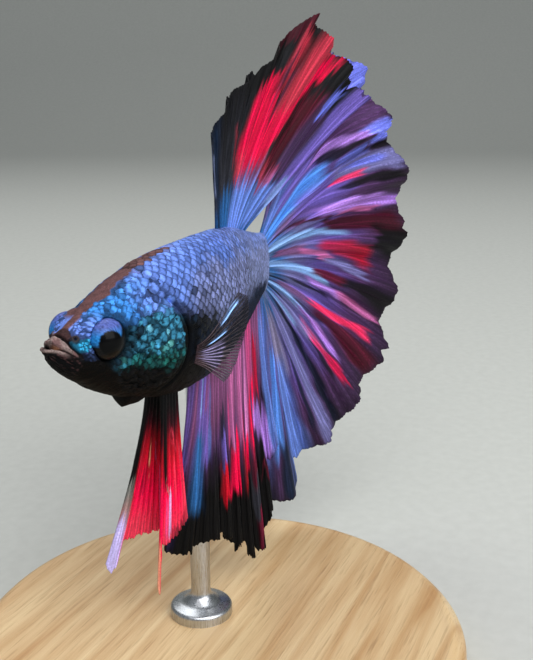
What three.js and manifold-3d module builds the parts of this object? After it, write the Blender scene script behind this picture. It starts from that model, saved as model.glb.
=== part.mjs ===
// A male half-moon betta (Siamese fighting fish), life size, as a still display model on a stand.
// Millimetres, +Z up. The fish faces -X and its left flank faces -Y. The origin is the middle of the
// stand's underside.
//
// The body hangs on a bent spine. A place on the fish is named by how far it lies along the spine
// from the snout, how far it lies to the fish's left, and how high it is over the body axis.
// A place on a fin is named by across, 0 at its first ray and 1 at its last, and out, 0 at the root
// of a ray and 1 at its tip.

import * as THREE from "three";
import { mergeVertices } from "three/addons/utils/BufferGeometryUtils.js";
import Module from "manifold-3d";

const wasm = await Module();
wasm.setup();
const { clamp, degToRad, lerp, smoothstep } = THREE.MathUtils;

// ---- Driving dimensions ----
const STANDARD_LENGTH = 42; // snout tip to tail base, along the spine
const BODY_DEPTH = 13;
const BODY_WIDTH = 7.3;
const CAUDAL_RAY = 28; // longest ray of the tail fin
const DORSAL_RAY = 27;
const ANAL_RAY = 25;
const PELVIC_RAY = 18.5; // with its trailing filament
const PECTORAL_RAY = 6.4;
const EYE_RADIUS = 1.62;
const EYE_BULGE = 1.3; // half thickness of the eyeball, sideways
const FIN_THICKNESS = 0.55;
const GAP = 0.3; // clearance between neighbouring parts
const AXIS_HEIGHT = 38.5; // body axis over the table
const BASE_RADIUS = 25;
const BASE_THICKNESS = 5;
const ROD_RADIUS = 1;

// ---- Body form ----
// Heading of the spine, in degrees from +X toward +Y, at distances from the snout.
const SPINE_HEADING = [[0, -11], [10, -11], [24, 7], [38, 7.5], [43, 0]];

// Section of the body at fractions of the standard length. Back, belly and the height of the widest
// line are fractions of the depth, and the half width is a fraction of the width.
const SECTIONS = [
  { at: 0.0, back: 0.122, belly: 0.045, half: 0.116, widest: 0.09 },
  { at: 0.035, back: 0.155, belly: -0.075, half: 0.226, widest: 0.046 },
  { at: 0.083, back: 0.227, belly: -0.195, half: 0.322, widest: 0.038 },
  { at: 0.143, back: 0.315, belly: -0.312, half: 0.404, widest: 0.03 },
  { at: 0.214, back: 0.415, belly: -0.403, half: 0.466, widest: 0.008 },
  { at: 0.298, back: 0.48, belly: -0.473, half: 0.5, widest: -0.015 },
  { at: 0.405, back: 0.51, belly: -0.5, half: 0.493, widest: -0.023 },
  { at: 0.548, back: 0.508, belly: -0.49, half: 0.438, widest: -0.008 },
  { at: 0.69, back: 0.47, belly: -0.44, half: 0.35, widest: 0.008 },
  { at: 0.833, back: 0.365, belly: -0.346, half: 0.253, widest: 0.008 },
  { at: 0.94, back: 0.29, belly: -0.28, half: 0.178, widest: 0.008 },
  { at: 1.0, back: 0.265, belly: -0.254, half: 0.116, widest: 0.008 },
];
const SECTION_POWER = 2.15; // 2 would be an ellipse, more is squarer
// The same power over the widest line, where the snout is more like a ridge.
const ROOF_POWER = [[0, 1.4], [2, 1.4], [6, SECTION_POWER], [STANDARD_LENGTH, SECTION_POWER]];
const SNOUT_ROUNDING = 2.2; // length over which the snout closes
const TAIL_ROUNDING = 1.0;
const RING_SIDES = 26;
const RING_COUNT = 30;

// ---- Where the parts meet, along the spine ----
const HEAD_END = 12.6;
const TRUNK_END = 34;
const LIP_END = 2.4;
const JAW_END = 3.6;
const MOUTH_TIP_HEIGHT = 1.35;
const MOUTH_CORNER_HEIGHT = -0.45;
const MOUTH_TIP_OPENING = 0.55;

const EYE = { along: 4.8, side: 2.15, height: 1.2 };
const GILL_COVER = { along: 10.5, height: -0.8, halfLength: 2.85, halfHeight: 3.4, innerSide: 2.0 };

// The free edge of the gill membrane hangs under the throat as a small lobe.
const THROAT_LOBE = { along: 8.7, height: -5.15, halfLength: 1.4, halfHeight: 0.95, halfWidth: 1.3 };

// ---- Fins ----
const DORSAL = {
  from: 26,
  to: 33,
  elevation: [[0, 95], [0.12, 88], [0.22, 80], [0.4, 68], [0.5, 59.5], [0.7, 48], [1, 26.5]],
  length: [[0, 0.27], [0.12, 0.38], [0.22, 0.47], [0.32, 0.53], [0.4, 0.61], [0.5, 0.77],
    [0.57, 0.91], [0.68, 0.93], [0.8, 0.93], [1, 1]],
  tipHeading: -15,
  rearDroop: 20, // degrees by which the last ray leaves its root lower than it runs on
  folds: 7,
  foldDepth: 0.8,
  frontFold: 0.3, // share of the fold depth at the stiff first ray
};
const CAUDAL = {
  rootAt: 41.9,
  rootHalfHeight: 3.1,
  topElevation: 80,
  bottomElevation: -96,
  sway: [[0, 0], [0.6, 0], [1, -1.5]], // of the tips, to the left
  length: [[-96, 0.9], [-86, 0.97], [-80, 1], [-70, 0.88], [-58, 0.94], [-46, 0.9], [-36, 0.97],
    [-15, 0.89], [0, 0.91], [11, 0.95], [30, 0.92], [50, 0.88], [60, 0.84], [70, 0.77], [80, 0.7]],
  rootHeading: -10,
  tipHeading: -20,
  folds: 11,
  foldDepth: 1.1,
  frontFold: 1,
};
const ANAL = {
  from: 18.5,
  to: 40,
  elevation: [[0, -92], [0.08, -98], [0.3, -94], [1, -94]],
  length: [[0, 0.5], [0.08, 0.71], [0.25, 0.73], [0.45, 0.83], [0.62, 1], [0.75, 1.05], [0.85, 0.98],
    [0.93, 0.82], [1, 0.64]],
  // Of the ray tips, toward the left.
  sway: [[0, -2.6], [0.08, -2.2], [0.17, -0.8], [0.26, 0.2], [0.5, 0.8], [0.75, 2], [1, 2]],
  folds: 8,
  foldDepth: 0.7,
  frontFold: 1,
};
// Offsets of the ray tips from their roots, toward the tail and toward the left.
const PELVIC_LEFT = {
  length: [[0, 0.96], [0.05, 1], [0.14, 0.78], [0.3, 0.75], [0.7, 0.72], [1, 0.65]],
  back: [[0, -1], [0.3, -0.7], [1, 0.6]],
  left: [[0, -0.6], [1, 0.5]],
};
const PELVIC_RIGHT = {
  length: [[0, 0.84], [0.07, 0.89], [0.15, 0.86], [0.21, 0.75], [0.3, 0.73], [1, 0.72]],
  back: [[0, -3], [0.3, -2], [1, 0]],
  left: [[0, -3.3], [0.3, -2.2], [1, 0.7]],
};
const PELVIC_ROOT = { along: 12.7, side: 0.8, width: 2.1 };
const PECTORAL = {
  along: 14.0,
  height: -2.3,
  rootHalfHeight: 0.7,
  topElevation: 47,
  bottomElevation: -42,
  spread: 20, // swing away from the flank
  length: [[0, 0.93], [0.1, 1], [0.25, 0.9], [0.5, 0.7], [1, 0.54]],
};

// ---- Stand ----
const ROD = { along: 23.8, side: -1.7, depthInBody: 2, footRadius: 3.2, footThickness: 1.1 };
const BASE_CENTRE = { x: 23, y: -3 };
const BASE_BEVEL = 1;

// ---- Looks of the parts ----
function paint(color, roughness, metalness) {
  return new THREE.MeshStandardMaterial({ color, roughness, metalness });
}

const LOOKS = {
  skin: paint(0x5f7fc0, 0.45, 0),
  cheek: paint(0x2f8f9e, 0.4, 0),
  lips: paint(0x3b2a26, 0.5, 0),
  eye: paint(0x0b0d12, 0.1, 0),
  fin: paint(0x7f6fb8, 0.5, 0),
  redFin: paint(0xb01830, 0.5, 0),
  clearFin: paint(0x3a3640, 0.4, 0),
  wood: paint(0xd8c4a0, 0.55, 0),
  steel: paint(0xb8bcc0, 0.3, 1),
};

// ---- Curves through a few values ----
// A smooth curve through [place, value] pairs, which holds its end values beyond the ends.
function along(pairs, place) {
  const last = pairs.length - 1;
  if (place <= pairs[0][0]) return pairs[0][1];
  if (place >= pairs[last][0]) return pairs[last][1];
  const next = pairs.findIndex((pair) => pair[0] > place);
  const start = next - 1;
  const step = pairs[next][0] - pairs[start][0];
  const slope = (index) => {
    const before = pairs[Math.max(index - 1, 0)];
    const after = pairs[Math.min(index + 1, last)];
    return (after[1] - before[1]) / (after[0] - before[0]);
  };
  const t = (place - pairs[start][0]) / step;
  const rise = t * t * (3 - 2 * t);
  const leave = t * (1 - t) * (1 - t) * step * slope(start);
  const arrive = t * t * (t - 1) * step * slope(next);
  return lerp(pairs[start][1], pairs[next][1], rise) + leave + arrive;
}

function sectionCurve(key, unit) {
  return SECTIONS.map((section) => [section.at * STANDARD_LENGTH, section[key] * unit]);
}

const BACK_LINE = sectionCurve("back", BODY_DEPTH);
const BELLY_LINE = sectionCurve("belly", BODY_DEPTH);
const HALF_WIDTH = sectionCurve("half", BODY_WIDTH);
const WIDEST_LINE = sectionCurve("widest", BODY_DEPTH);

// ---- Places on the fish ----
// Position and heading of the spine, walked as a chain of arcs whose heading turns evenly.
function spineAt(distance) {
  let x = 0;
  let y = 0;
  let heading = degToRad(SPINE_HEADING[0][1]);
  for (let i = 0; i < SPINE_HEADING.length - 1; i += 1) {
    const [start, startDegrees] = SPINE_HEADING[i];
    const [end, endDegrees] = SPINE_HEADING[i + 1];
    const length = Math.min(distance, end) - start;
    if (length <= 0 && i > 0) break;
    const turn = (degToRad(endDegrees - startDegrees) * length) / (end - start);
    const middle = degToRad(startDegrees) + turn / 2;
    const bend = turn === 0 ? 1 : Math.sin(turn / 2) / (turn / 2);
    x += length * bend * Math.cos(middle);
    y += length * bend * Math.sin(middle);
    heading = degToRad(startDegrees) + turn;
  }
  return { x, y, heading };
}

// Unit vector to the left of a heading.
function leftOf(heading) {
  return new THREE.Vector3(Math.sin(heading), -Math.cos(heading), 0);
}

function direction(heading, elevation) {
  const flat = Math.cos(elevation);
  return new THREE.Vector3(flat * Math.cos(heading), flat * Math.sin(heading), Math.sin(elevation));
}

function place(distance, side, height) {
  const spine = spineAt(distance);
  return new THREE.Vector3(spine.x, spine.y, height).addScaledVector(leftOf(spine.heading), side);
}

// How much of its full section the body has, from 0 at the closed snout and tail ends.
function fullness(distance) {
  const front = clamp(distance / SNOUT_ROUNDING, 0, 1);
  const rear = clamp((STANDARD_LENGTH - distance) / TAIL_ROUNDING, 0, 1);
  return Math.sqrt(1 - (1 - front) ** 2) * Math.sqrt(1 - (1 - rear) ** 2);
}

// Side and height of the body's surface, at an angle round the section from the left toward the back.
function sectionPoint(distance, angle) {
  const widest = along(WIDEST_LINE, distance);
  const isRoof = angle > 0 && angle < Math.PI;
  const edge = isRoof ? along(BACK_LINE, distance) : along(BELLY_LINE, distance);
  const power = 2 / (isRoof ? along(ROOF_POWER, distance) : SECTION_POWER);
  const sideways = Math.sign(Math.cos(angle)) * Math.abs(Math.cos(angle)) ** power;
  const upward = Math.abs(Math.sin(angle)) ** power;
  const size = fullness(distance);
  return {
    side: size * along(HALF_WIDTH, distance) * sideways,
    height: widest + size * (edge - widest) * upward,
  };
}

// Side of the body's surface at a height over the axis.
function sideAtHeight(distance, height) {
  const widest = along(WIDEST_LINE, distance);
  const edge = height > widest ? along(BACK_LINE, distance) : along(BELLY_LINE, distance);
  const power = height > widest ? along(ROOF_POWER, distance) : SECTION_POWER;
  const upward = clamp((height - widest) / (edge - widest), 0, 1);
  return along(HALF_WIDTH, distance) * (1 - upward ** power) ** (1 / power);
}

// Height of the body's underside at a side of the axis.
function undersideAt(distance, side) {
  const widest = along(WIDEST_LINE, distance);
  const sideways = Math.abs(side) / along(HALF_WIDTH, distance);
  const downward = (1 - sideways ** SECTION_POWER) ** (1 / SECTION_POWER);
  return widest + (along(BELLY_LINE, distance) - widest) * downward;
}

// ---- Solids ----
function geometryFrom(points, triangles) {
  const geometry = new THREE.BufferGeometry();
  geometry.setAttribute("position", new THREE.Float32BufferAttribute(points, 3));
  geometry.setIndex(triangles);
  return geometry;
}

function solidFrom(geometry) {
  const bare = geometry.clone();
  bare.deleteAttribute("normal");
  bare.deleteAttribute("uv");
  const merged = mergeVertices(bare);
  return new wasm.Manifold(
    new wasm.Mesh({
      numProp: 3,
      vertProperties: new Float32Array(merged.attributes.position.array),
      triVerts: new Uint32Array(merged.index.array),
    }),
  );
}

function geometryOf(solid) {
  const mesh = solid.getMesh();
  const geometry = geometryFrom(Array.from(mesh.vertProperties), Array.from(mesh.triVerts));
  geometry.computeVertexNormals();
  return geometry;
}

// The whole body as one closed loft of rings between a point at the snout and one at the tail base.
function wholeBody() {
  const points = [];
  const triangles = [];
  for (let ring = 1; ring < RING_COUNT; ring += 1) {
    // Rings crowd together toward both ends.
    const t = ring / RING_COUNT;
    const distance = STANDARD_LENGTH * (t - (0.75 * Math.sin(2 * Math.PI * t)) / (2 * Math.PI));
    for (let side = 0; side < RING_SIDES; side += 1) {
      const at = sectionPoint(distance, (2 * Math.PI * side) / RING_SIDES);
      points.push(...place(distance, at.side, at.height));
    }
  }
  const rings = RING_COUNT - 1;
  const snout = points.length / 3;
  points.push(...place(0, 0, along(WIDEST_LINE, 0)));
  points.push(...place(STANDARD_LENGTH, 0, along(WIDEST_LINE, STANDARD_LENGTH)));
  for (let side = 0; side < RING_SIDES; side += 1) {
    const next = (side + 1) % RING_SIDES;
    for (let ring = 0; ring < rings - 1; ring += 1) {
      const row = ring * RING_SIDES;
      const above = row + RING_SIDES;
      triangles.push(row + side, above + side, row + next);
      triangles.push(row + next, above + side, above + next);
    }
    const lastRow = (rings - 1) * RING_SIDES;
    triangles.push(snout, side, next);
    triangles.push(snout + 1, lastRow + next, lastRow + side);
  }
  return solidFrom(geometryFrom(points, triangles));
}

// A block across the whole fish between two distances. Each end has its own floor and roof height.
function block(from, to, floors, roofs) {
  const reach = BODY_DEPTH;
  const points = [];
  for (const [distance, floor, roof] of [[from, floors[0], roofs[0]], [to, floors[1], roofs[1]]]) {
    for (const [side, height] of [[reach, floor], [reach, roof], [-reach, roof], [-reach, floor]]) {
      points.push(...place(distance, side, height));
    }
  }
  const triangles = [0, 1, 2, 0, 2, 3, 6, 5, 4, 7, 6, 4];
  for (let i = 0; i < 4; i += 1) {
    const j = (i + 1) % 4;
    triangles.push(i, i + 4, j, j, i + 4, j + 4);
  }
  return solidFrom(geometryFrom(points, triangles));
}

function slice(body, from, to) {
  const tall = BODY_DEPTH;
  return body.intersect(block(from, to, [-tall, -tall], [tall, tall]));
}

// Axes of the fish at a distance: toward the tail, up, and to the left.
function axesAt(distance, side, height) {
  const heading = spineAt(distance).heading;
  const up = new THREE.Vector3(0, 0, 1);
  const axes = new THREE.Matrix4().makeBasis(direction(heading, 0), up, leftOf(heading));
  return axes.setPosition(place(distance, side, height));
}

function eyeball(side, extra) {
  const geometry = new THREE.SphereGeometry(1, 18, 10);
  geometry.scale(EYE_RADIUS + extra, EYE_RADIUS + extra, EYE_BULGE + extra);
  geometry.applyMatrix4(axesAt(EYE.along, side * EYE.side, EYE.height));
  return geometry;
}

function throatLobe() {
  const geometry = new THREE.SphereGeometry(1, 14, 8);
  geometry.scale(THROAT_LOBE.halfLength, THROAT_LOBE.halfHeight, THROAT_LOBE.halfWidth);
  geometry.applyMatrix4(axesAt(THROAT_LOBE.along, 0, THROAT_LOBE.height));
  return solidFrom(geometry);
}

// An upright disc on one flank, which cuts the gill cover out of the body's side.
function gillDisc(side, extra) {
  const outline = new THREE.Shape();
  const halfLength = GILL_COVER.halfLength + extra;
  const halfHeight = GILL_COVER.halfHeight + extra;
  outline.absellipse(0, 0, halfLength, halfHeight, 0, 2 * Math.PI, false, 0);
  const depth = BODY_WIDTH / 2;
  const inner = GILL_COVER.innerSide - extra;
  const geometry = new THREE.ExtrudeGeometry(outline, { depth, bevelEnabled: false, curveSegments: 9 });
  const start = side > 0 ? inner : -inner - depth;
  geometry.applyMatrix4(axesAt(GILL_COVER.along, start, GILL_COVER.height));
  return solidFrom(geometry);
}

// A fin as a thin closed sheet on both sides of a middle surface.
function finSheet(surface, rayCount, stepCount) {
  const point = (i, j) => surface(i / rayCount, j / stepCount);
  const points = [];
  const triangles = [];
  const rows = rayCount + 1;
  const columns = stepCount + 1;
  for (const face of [1, -1]) {
    for (let i = 0; i < rows; i += 1) {
      for (let j = 0; j < columns; j += 1) {
        const acrossFin = point(Math.min(i + 1, rayCount), j).sub(point(Math.max(i - 1, 0), j));
        const outFin = point(i, Math.min(j + 1, stepCount)).sub(point(i, Math.max(j - 1, 0)));
        const normal = acrossFin.cross(outFin).normalize();
        points.push(...point(i, j).addScaledVector(normal, (face * FIN_THICKNESS) / 2));
      }
    }
  }
  const back = rows * columns;
  for (let i = 0; i < rayCount; i += 1) {
    for (let j = 0; j < stepCount; j += 1) {
      const a = i * columns + j;
      const b = a + columns;
      triangles.push(a, b, a + 1, b, b + 1, a + 1);
      triangles.push(back + a, back + a + 1, back + b, back + b, back + a + 1, back + b + 1);
    }
  }
  const border = [];
  for (let i = 0; i < rayCount; i += 1) border.push(i * columns);
  for (let j = 0; j < stepCount; j += 1) border.push(rayCount * columns + j);
  for (let i = rayCount; i > 0; i -= 1) border.push(i * columns + stepCount);
  for (let j = stepCount; j > 0; j -= 1) border.push(j);
  border.forEach((a, index) => {
    const b = border[(index + 1) % border.length];
    triangles.push(a, back + a, b, b, back + a, back + b);
  });
  return geometryFrom(points, triangles);
}

// Folds of an unpaired fin, which deepen toward its margin.
function fold(fin, across, out) {
  const growth = out ** 1.3 * lerp(fin.frontFold, 1, clamp(2 * across, 0, 1));
  return fin.foldDepth * growth * Math.sin(2 * Math.PI * (fin.folds * across + 0.25));
}

function dorsalSurface(across, out) {
  const distance = lerp(DORSAL.from, DORSAL.to, across);
  const length = DORSAL_RAY * along(DORSAL.length, across) * out;
  const droop = DORSAL.rearDroop * smoothstep(across, 0.5, 1) * (1 - out) ** 2;
  const elevation = degToRad(along(DORSAL.elevation, across) - droop);
  const heading = lerp(spineAt(distance).heading, degToRad(DORSAL.tipHeading), 0.4 + 0.6 * out);
  return place(distance, 0, along(BACK_LINE, distance) + GAP)
    .addScaledVector(direction(heading, elevation), length)
    .addScaledVector(leftOf(heading), fold(DORSAL, across, out));
}

function caudalSurface(across, out) {
  const degrees = lerp(CAUDAL.topElevation, CAUDAL.bottomElevation, across);
  const elevation = degToRad(degrees);
  const length = CAUDAL_RAY * along(CAUDAL.length, degrees) * out;
  const heading = degToRad(lerp(CAUDAL.rootHeading, CAUDAL.tipHeading, out));
  const rootDistance = CAUDAL.rootAt + GAP + 0.4 * Math.cos(elevation);
  const sway = along(CAUDAL.sway, across) * out + fold(CAUDAL, across, out);
  return place(rootDistance, 0, CAUDAL.rootHalfHeight * Math.sin(elevation))
    .addScaledVector(direction(heading, elevation), length)
    .addScaledVector(leftOf(heading), sway);
}

function analSurface(across, out) {
  const distance = lerp(ANAL.from, ANAL.to, across);
  const heading = spineAt(distance).heading;
  const length = ANAL_RAY * along(ANAL.length, across) * out;
  const elevation = degToRad(along(ANAL.elevation, across));
  const sway = along(ANAL.sway, across) * out ** 1.4 + fold(ANAL, across, out);
  return place(distance, 0, along(BELLY_LINE, distance) - GAP)
    .addScaledVector(direction(heading, elevation), length)
    .addScaledVector(leftOf(heading), sway);
}

function pelvicSurface(fin, side, across, out) {
  const distance = PELVIC_ROOT.along + PELVIC_ROOT.width * across;
  const rootSide = side * PELVIC_ROOT.side;
  const length = PELVIC_RAY * along(fin.length, across) * out;
  const bow = out ** 1.2;
  return place(distance, rootSide, undersideAt(distance, rootSide) - GAP)
    .addScaledVector(new THREE.Vector3(1, 0, 0), along(fin.back, across) * bow)
    .addScaledVector(new THREE.Vector3(0, -1, 0), along(fin.left, across) * bow)
    .addScaledVector(new THREE.Vector3(0, 0, -1), length);
}

function pectoralSurface(side, across, out) {
  const height = PECTORAL.height + lerp(1, -1, across) * PECTORAL.rootHalfHeight;
  const clear = sideAtHeight(PECTORAL.along, height) + GAP + FIN_THICKNESS / 2;
  const elevation = degToRad(lerp(PECTORAL.topElevation, PECTORAL.bottomElevation, across));
  const heading = spineAt(PECTORAL.along).heading - side * degToRad(PECTORAL.spread);
  const length = PECTORAL_RAY * along(PECTORAL.length, across) * out;
  return place(PECTORAL.along, side * clear, height)
    .addScaledVector(direction(heading, elevation), length);
}

function rodTop() {
  return undersideAt(ROD.along, ROD.side) + ROD.depthInBody;
}

function rodHole() {
  const depth = ROD.depthInBody + GAP;
  const length = 2 * depth;
  const geometry = new THREE.CylinderGeometry(ROD_RADIUS + GAP, ROD_RADIUS + GAP, length, 16);
  geometry.rotateX(Math.PI / 2);
  geometry.translate(...place(ROD.along, ROD.side, rodTop() + GAP - length / 2));
  return solidFrom(geometry);
}

function standRod() {
  const bottom = -AXIS_HEIGHT + BASE_THICKNESS + GAP;
  const top = rodTop();
  const footTop = bottom + ROD.footThickness;
  const profile = [
    [0, bottom],
    [ROD.footRadius, bottom],
    [ROD.footRadius, footTop - 0.4],
    [ROD.footRadius - 0.4, footTop],
    [ROD_RADIUS + 0.5, footTop + 0.2],
    [ROD_RADIUS, footTop + 0.8],
    [ROD_RADIUS, top - 0.3],
    [ROD_RADIUS - 0.3, top],
    [0, top],
  ];
  const geometry = new THREE.LatheGeometry(profile.map(([r, z]) => new THREE.Vector2(r, z)), 20);
  geometry.rotateX(Math.PI / 2);
  const foot = place(ROD.along, ROD.side, 0);
  return geometry.translate(foot.x, foot.y, 0);
}

function standBase() {
  const bottom = -AXIS_HEIGHT;
  const top = bottom + BASE_THICKNESS;
  const profile = [
    [0, bottom],
    [BASE_RADIUS - BASE_BEVEL / 2, bottom],
    [BASE_RADIUS, bottom + BASE_BEVEL / 2],
    [BASE_RADIUS, top - BASE_BEVEL],
    [BASE_RADIUS - 0.3 * BASE_BEVEL, top - 0.3 * BASE_BEVEL],
    [BASE_RADIUS - BASE_BEVEL, top],
    [0, top],
  ];
  const geometry = new THREE.LatheGeometry(profile.map(([r, z]) => new THREE.Vector2(r, z)), 40);
  geometry.rotateX(Math.PI / 2);
  return geometry.translate(BASE_CENTRE.x, BASE_CENTRE.y, 0);
}

// ---- The body, parted with thin cuts ----
// Solid below the mouth's cleft, which opens a little toward the tip.
function jawBlock(extra) {
  const tip = MOUTH_TIP_HEIGHT - MOUTH_TIP_OPENING / 2 + extra / 2;
  const corner = MOUTH_CORNER_HEIGHT + extra;
  const rise = (tip - corner) / JAW_END;
  return block(-1, JAW_END + extra, [-BODY_DEPTH, -BODY_DEPTH], [tip + rise, corner]);
}

// Solid above the cleft and in front of the fold behind the upper lip.
function lipBlock(extra) {
  const tip = MOUTH_TIP_HEIGHT + MOUTH_TIP_OPENING / 2;
  const slope = (MOUTH_TIP_HEIGHT - MOUTH_CORNER_HEIGHT) / JAW_END;
  const rear = MOUTH_TIP_HEIGHT - slope * (LIP_END + extra) + GAP / 2;
  return block(-1, LIP_END + extra, [tip + slope, rear], [BODY_DEPTH, BODY_DEPTH]);
}

function bodyParts() {
  const body = wholeBody();
  const front = slice(body, -1, HEAD_END);
  const jaw = front.intersect(jawBlock(0));
  const lip = front.intersect(lipBlock(0)).subtract(jawBlock(GAP));
  const snout = block(-1, LIP_END + GAP, [-BODY_DEPTH, -BODY_DEPTH], [BODY_DEPTH, BODY_DEPTH]);
  let head = front.subtract(jawBlock(GAP)).subtract(snout).add(throatLobe());
  let trunk = slice(body, HEAD_END + GAP, TRUNK_END).subtract(rodHole());
  const parts = { upper_lip: [lip, LOOKS.lips], lower_jaw: [jaw, LOOKS.lips] };
  for (const [name, side] of [["left", 1], ["right", -1]]) {
    head = head.subtract(gillDisc(side, GAP)).subtract(solidFrom(eyeball(side, GAP)));
    trunk = trunk.subtract(gillDisc(side, GAP));
    parts[`gill_cover_${name}`] = [body.intersect(gillDisc(side, 0)), LOOKS.cheek];
  }
  parts.head = [head, LOOKS.skin];
  parts.trunk = [trunk, LOOKS.skin];
  parts.tail_stalk = [slice(body, TRUNK_END + GAP, STANDARD_LENGTH + 1), LOOKS.skin];
  return parts;
}

// ---- The model ----
const fish = new THREE.Group();
// The table is at height 0, and the stand's middle is over the origin.
fish.position.set(-BASE_CENTRE.x, -BASE_CENTRE.y, AXIS_HEIGHT);

function add(name, geometry, look) {
  const mesh = new THREE.Mesh(geometry, look);
  mesh.name = name;
  fish.add(mesh);
}

for (const [name, [solid, look]] of Object.entries(bodyParts())) {
  add(name, geometryOf(solid), look);
}
for (const [name, side] of [["left", 1], ["right", -1]]) {
  const pelvic = side > 0 ? PELVIC_LEFT : PELVIC_RIGHT;
  const pelvicFin = (across, out) => pelvicSurface(pelvic, side, across, out);
  const pectoralFin = (across, out) => pectoralSurface(side, across, out);
  add(`eye_${name}`, eyeball(side, 0), LOOKS.eye);
  add(`pelvic_fin_${name}`, finSheet(pelvicFin, 12, 6), LOOKS.redFin);
  add(`pectoral_fin_${name}`, finSheet(pectoralFin, 10, 3), LOOKS.clearFin);
}
add("dorsal_fin", finSheet(dorsalSurface, 42, 5), LOOKS.fin);
add("caudal_fin", finSheet(caudalSurface, 60, 6), LOOKS.fin);
add("anal_fin", finSheet(analSurface, 48, 5), LOOKS.fin);
add("stand_base", standBase(), LOOKS.wood);
add("stand_rod", standRod(), LOOKS.steel);

const model = new THREE.Group();
model.add(fish);

export default model;
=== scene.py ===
"""Looks of the betta display model: skin, scales, fins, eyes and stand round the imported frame.

Lengths are millimetres until a mesh is made, which is in metres. A place on the fish is named by how far
it lies along the spine from the snout, how far to the fish's left, and its height over the body axis.
A place on the skin is (along, girth), where girth runs from 0 at the belly over the left flank to 0.5 at
the back and on over the right flank to 1. A place on a fin is (across, out): first ray to last ray, and
root to tip.
"""

import math
from functools import partial

import bpy
import numpy as np
from mathutils import Matrix, Vector


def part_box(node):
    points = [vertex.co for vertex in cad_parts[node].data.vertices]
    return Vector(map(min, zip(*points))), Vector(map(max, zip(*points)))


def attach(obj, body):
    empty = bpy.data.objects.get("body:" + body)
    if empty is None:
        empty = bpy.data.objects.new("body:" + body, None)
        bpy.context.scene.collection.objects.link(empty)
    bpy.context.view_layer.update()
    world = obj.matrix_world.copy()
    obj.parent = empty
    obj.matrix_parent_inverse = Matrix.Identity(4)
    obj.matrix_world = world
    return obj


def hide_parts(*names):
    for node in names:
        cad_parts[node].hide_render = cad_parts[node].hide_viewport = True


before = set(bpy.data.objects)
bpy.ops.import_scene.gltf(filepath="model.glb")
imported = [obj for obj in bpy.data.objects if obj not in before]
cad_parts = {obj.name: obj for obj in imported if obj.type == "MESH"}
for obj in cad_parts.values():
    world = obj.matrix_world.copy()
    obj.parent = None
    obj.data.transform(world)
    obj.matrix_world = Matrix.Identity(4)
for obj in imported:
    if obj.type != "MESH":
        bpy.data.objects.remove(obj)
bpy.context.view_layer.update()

MM = 0.001

# ---- Form of the fish, as the frame has it ----
STANDARD_LENGTH = 42.0
BODY_DEPTH = 13.0
BODY_WIDTH = 7.3
CAUDAL_RAY = 28.0
DORSAL_RAY = 27.0
ANAL_RAY = 25.0
PELVIC_RAY = 18.5
PECTORAL_RAY = 6.4
GAP = 0.3
FIN_THICKNESS = 0.55
SPINE_HEADING = [(0, -11), (10, -11), (24, 7), (38, 7.5), (43, 0)]
# Fraction of the length, then back, belly and widest line as fractions of the depth, and half width.
SECTIONS = np.array([
    (0.0, 0.122, 0.045, 0.09, 0.116),
    (0.035, 0.155, -0.075, 0.046, 0.226),
    (0.083, 0.227, -0.195, 0.038, 0.322),
    (0.143, 0.315, -0.312, 0.03, 0.404),
    (0.214, 0.415, -0.403, 0.008, 0.466),
    (0.298, 0.48, -0.473, -0.015, 0.5),
    (0.405, 0.51, -0.5, -0.023, 0.493),
    (0.548, 0.508, -0.49, -0.008, 0.438),
    (0.69, 0.47, -0.44, 0.008, 0.35),
    (0.833, 0.365, -0.346, 0.008, 0.253),
    (0.94, 0.29, -0.28, 0.008, 0.178),
    (1.0, 0.265, -0.254, 0.008, 0.116),
])
SECTION_POWER = 2.15
ROOF_POWER = [(0, 1.4), (2, 1.4), (6, SECTION_POWER), (STANDARD_LENGTH, SECTION_POWER)]
SNOUT_ROUNDING = 2.2
TAIL_ROUNDING = 1.0
EYE = {"along": 4.8, "side": 2.15, "height": 1.2, "radius": 1.62, "bulge": 1.3}
GILL_PLATE = {"along": 9.6, "height": -0.6, "half_length": 2.75, "half_height": 3.3}
THROAT_LOBE = {"along": 8.4, "front": 0.5, "rear": 2.5, "half_width": 1.1, "drop": 0.9}
EYE_GAZE = (0.47, -0.03, 0.88)  # ahead, up and outward
MOUTH_LINE = [(0, 1.3), (0.3, 1.32), (0.65, 1.28), (0.95, 1.14), (1.35, 0.86), (1.7, 0.55), (2.1, 0.2)]
NOSTRIL = {"along": 2.3, "side": 1.23, "height": 1.66}

DORSAL = {
    "from": 26, "to": 33,
    "elevation": [(0, 95), (0.12, 88), (0.22, 80), (0.4, 68), (0.5, 59.5), (0.7, 48), (1, 26.5)],
    "length": [(0, 0.27), (0.12, 0.38), (0.22, 0.47), (0.32, 0.53), (0.4, 0.61), (0.5, 0.77),
               (0.57, 0.91), (0.68, 0.93), (0.8, 0.93), (1, 1)],
    "tip_heading": -15, "rear_droop": 20, "folds": 7, "fold_depth": 0.8, "front_fold": 0.3,
}
CAUDAL = {
    "root_at": 41.9, "root_half_height": 3.1, "top": 80, "bottom": -96,
    "sway": [(0, 0), (0.6, 0), (1, -1.5)],
    "length": [(-96, 0.9), (-86, 0.97), (-80, 1), (-70, 0.88), (-58, 0.94), (-46, 0.9), (-36, 0.97),
               (-15, 0.89), (0, 0.91), (11, 0.95), (30, 0.92), (50, 0.88), (60, 0.84), (70, 0.77), (80, 0.7)],
    "root_heading": -10, "tip_heading": -20, "folds": 11, "fold_depth": 1.1, "front_fold": 1,
    "ray_lean": [(0, 0.06), (0.1, 0.11), (0.2, 0.13), (0.3, 0.11), (0.4, 0.08), (0.5, 0.065), (0.7, 0.05),
                 (0.8, 0.015), (0.85, 0), (1, 0)],
}
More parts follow.
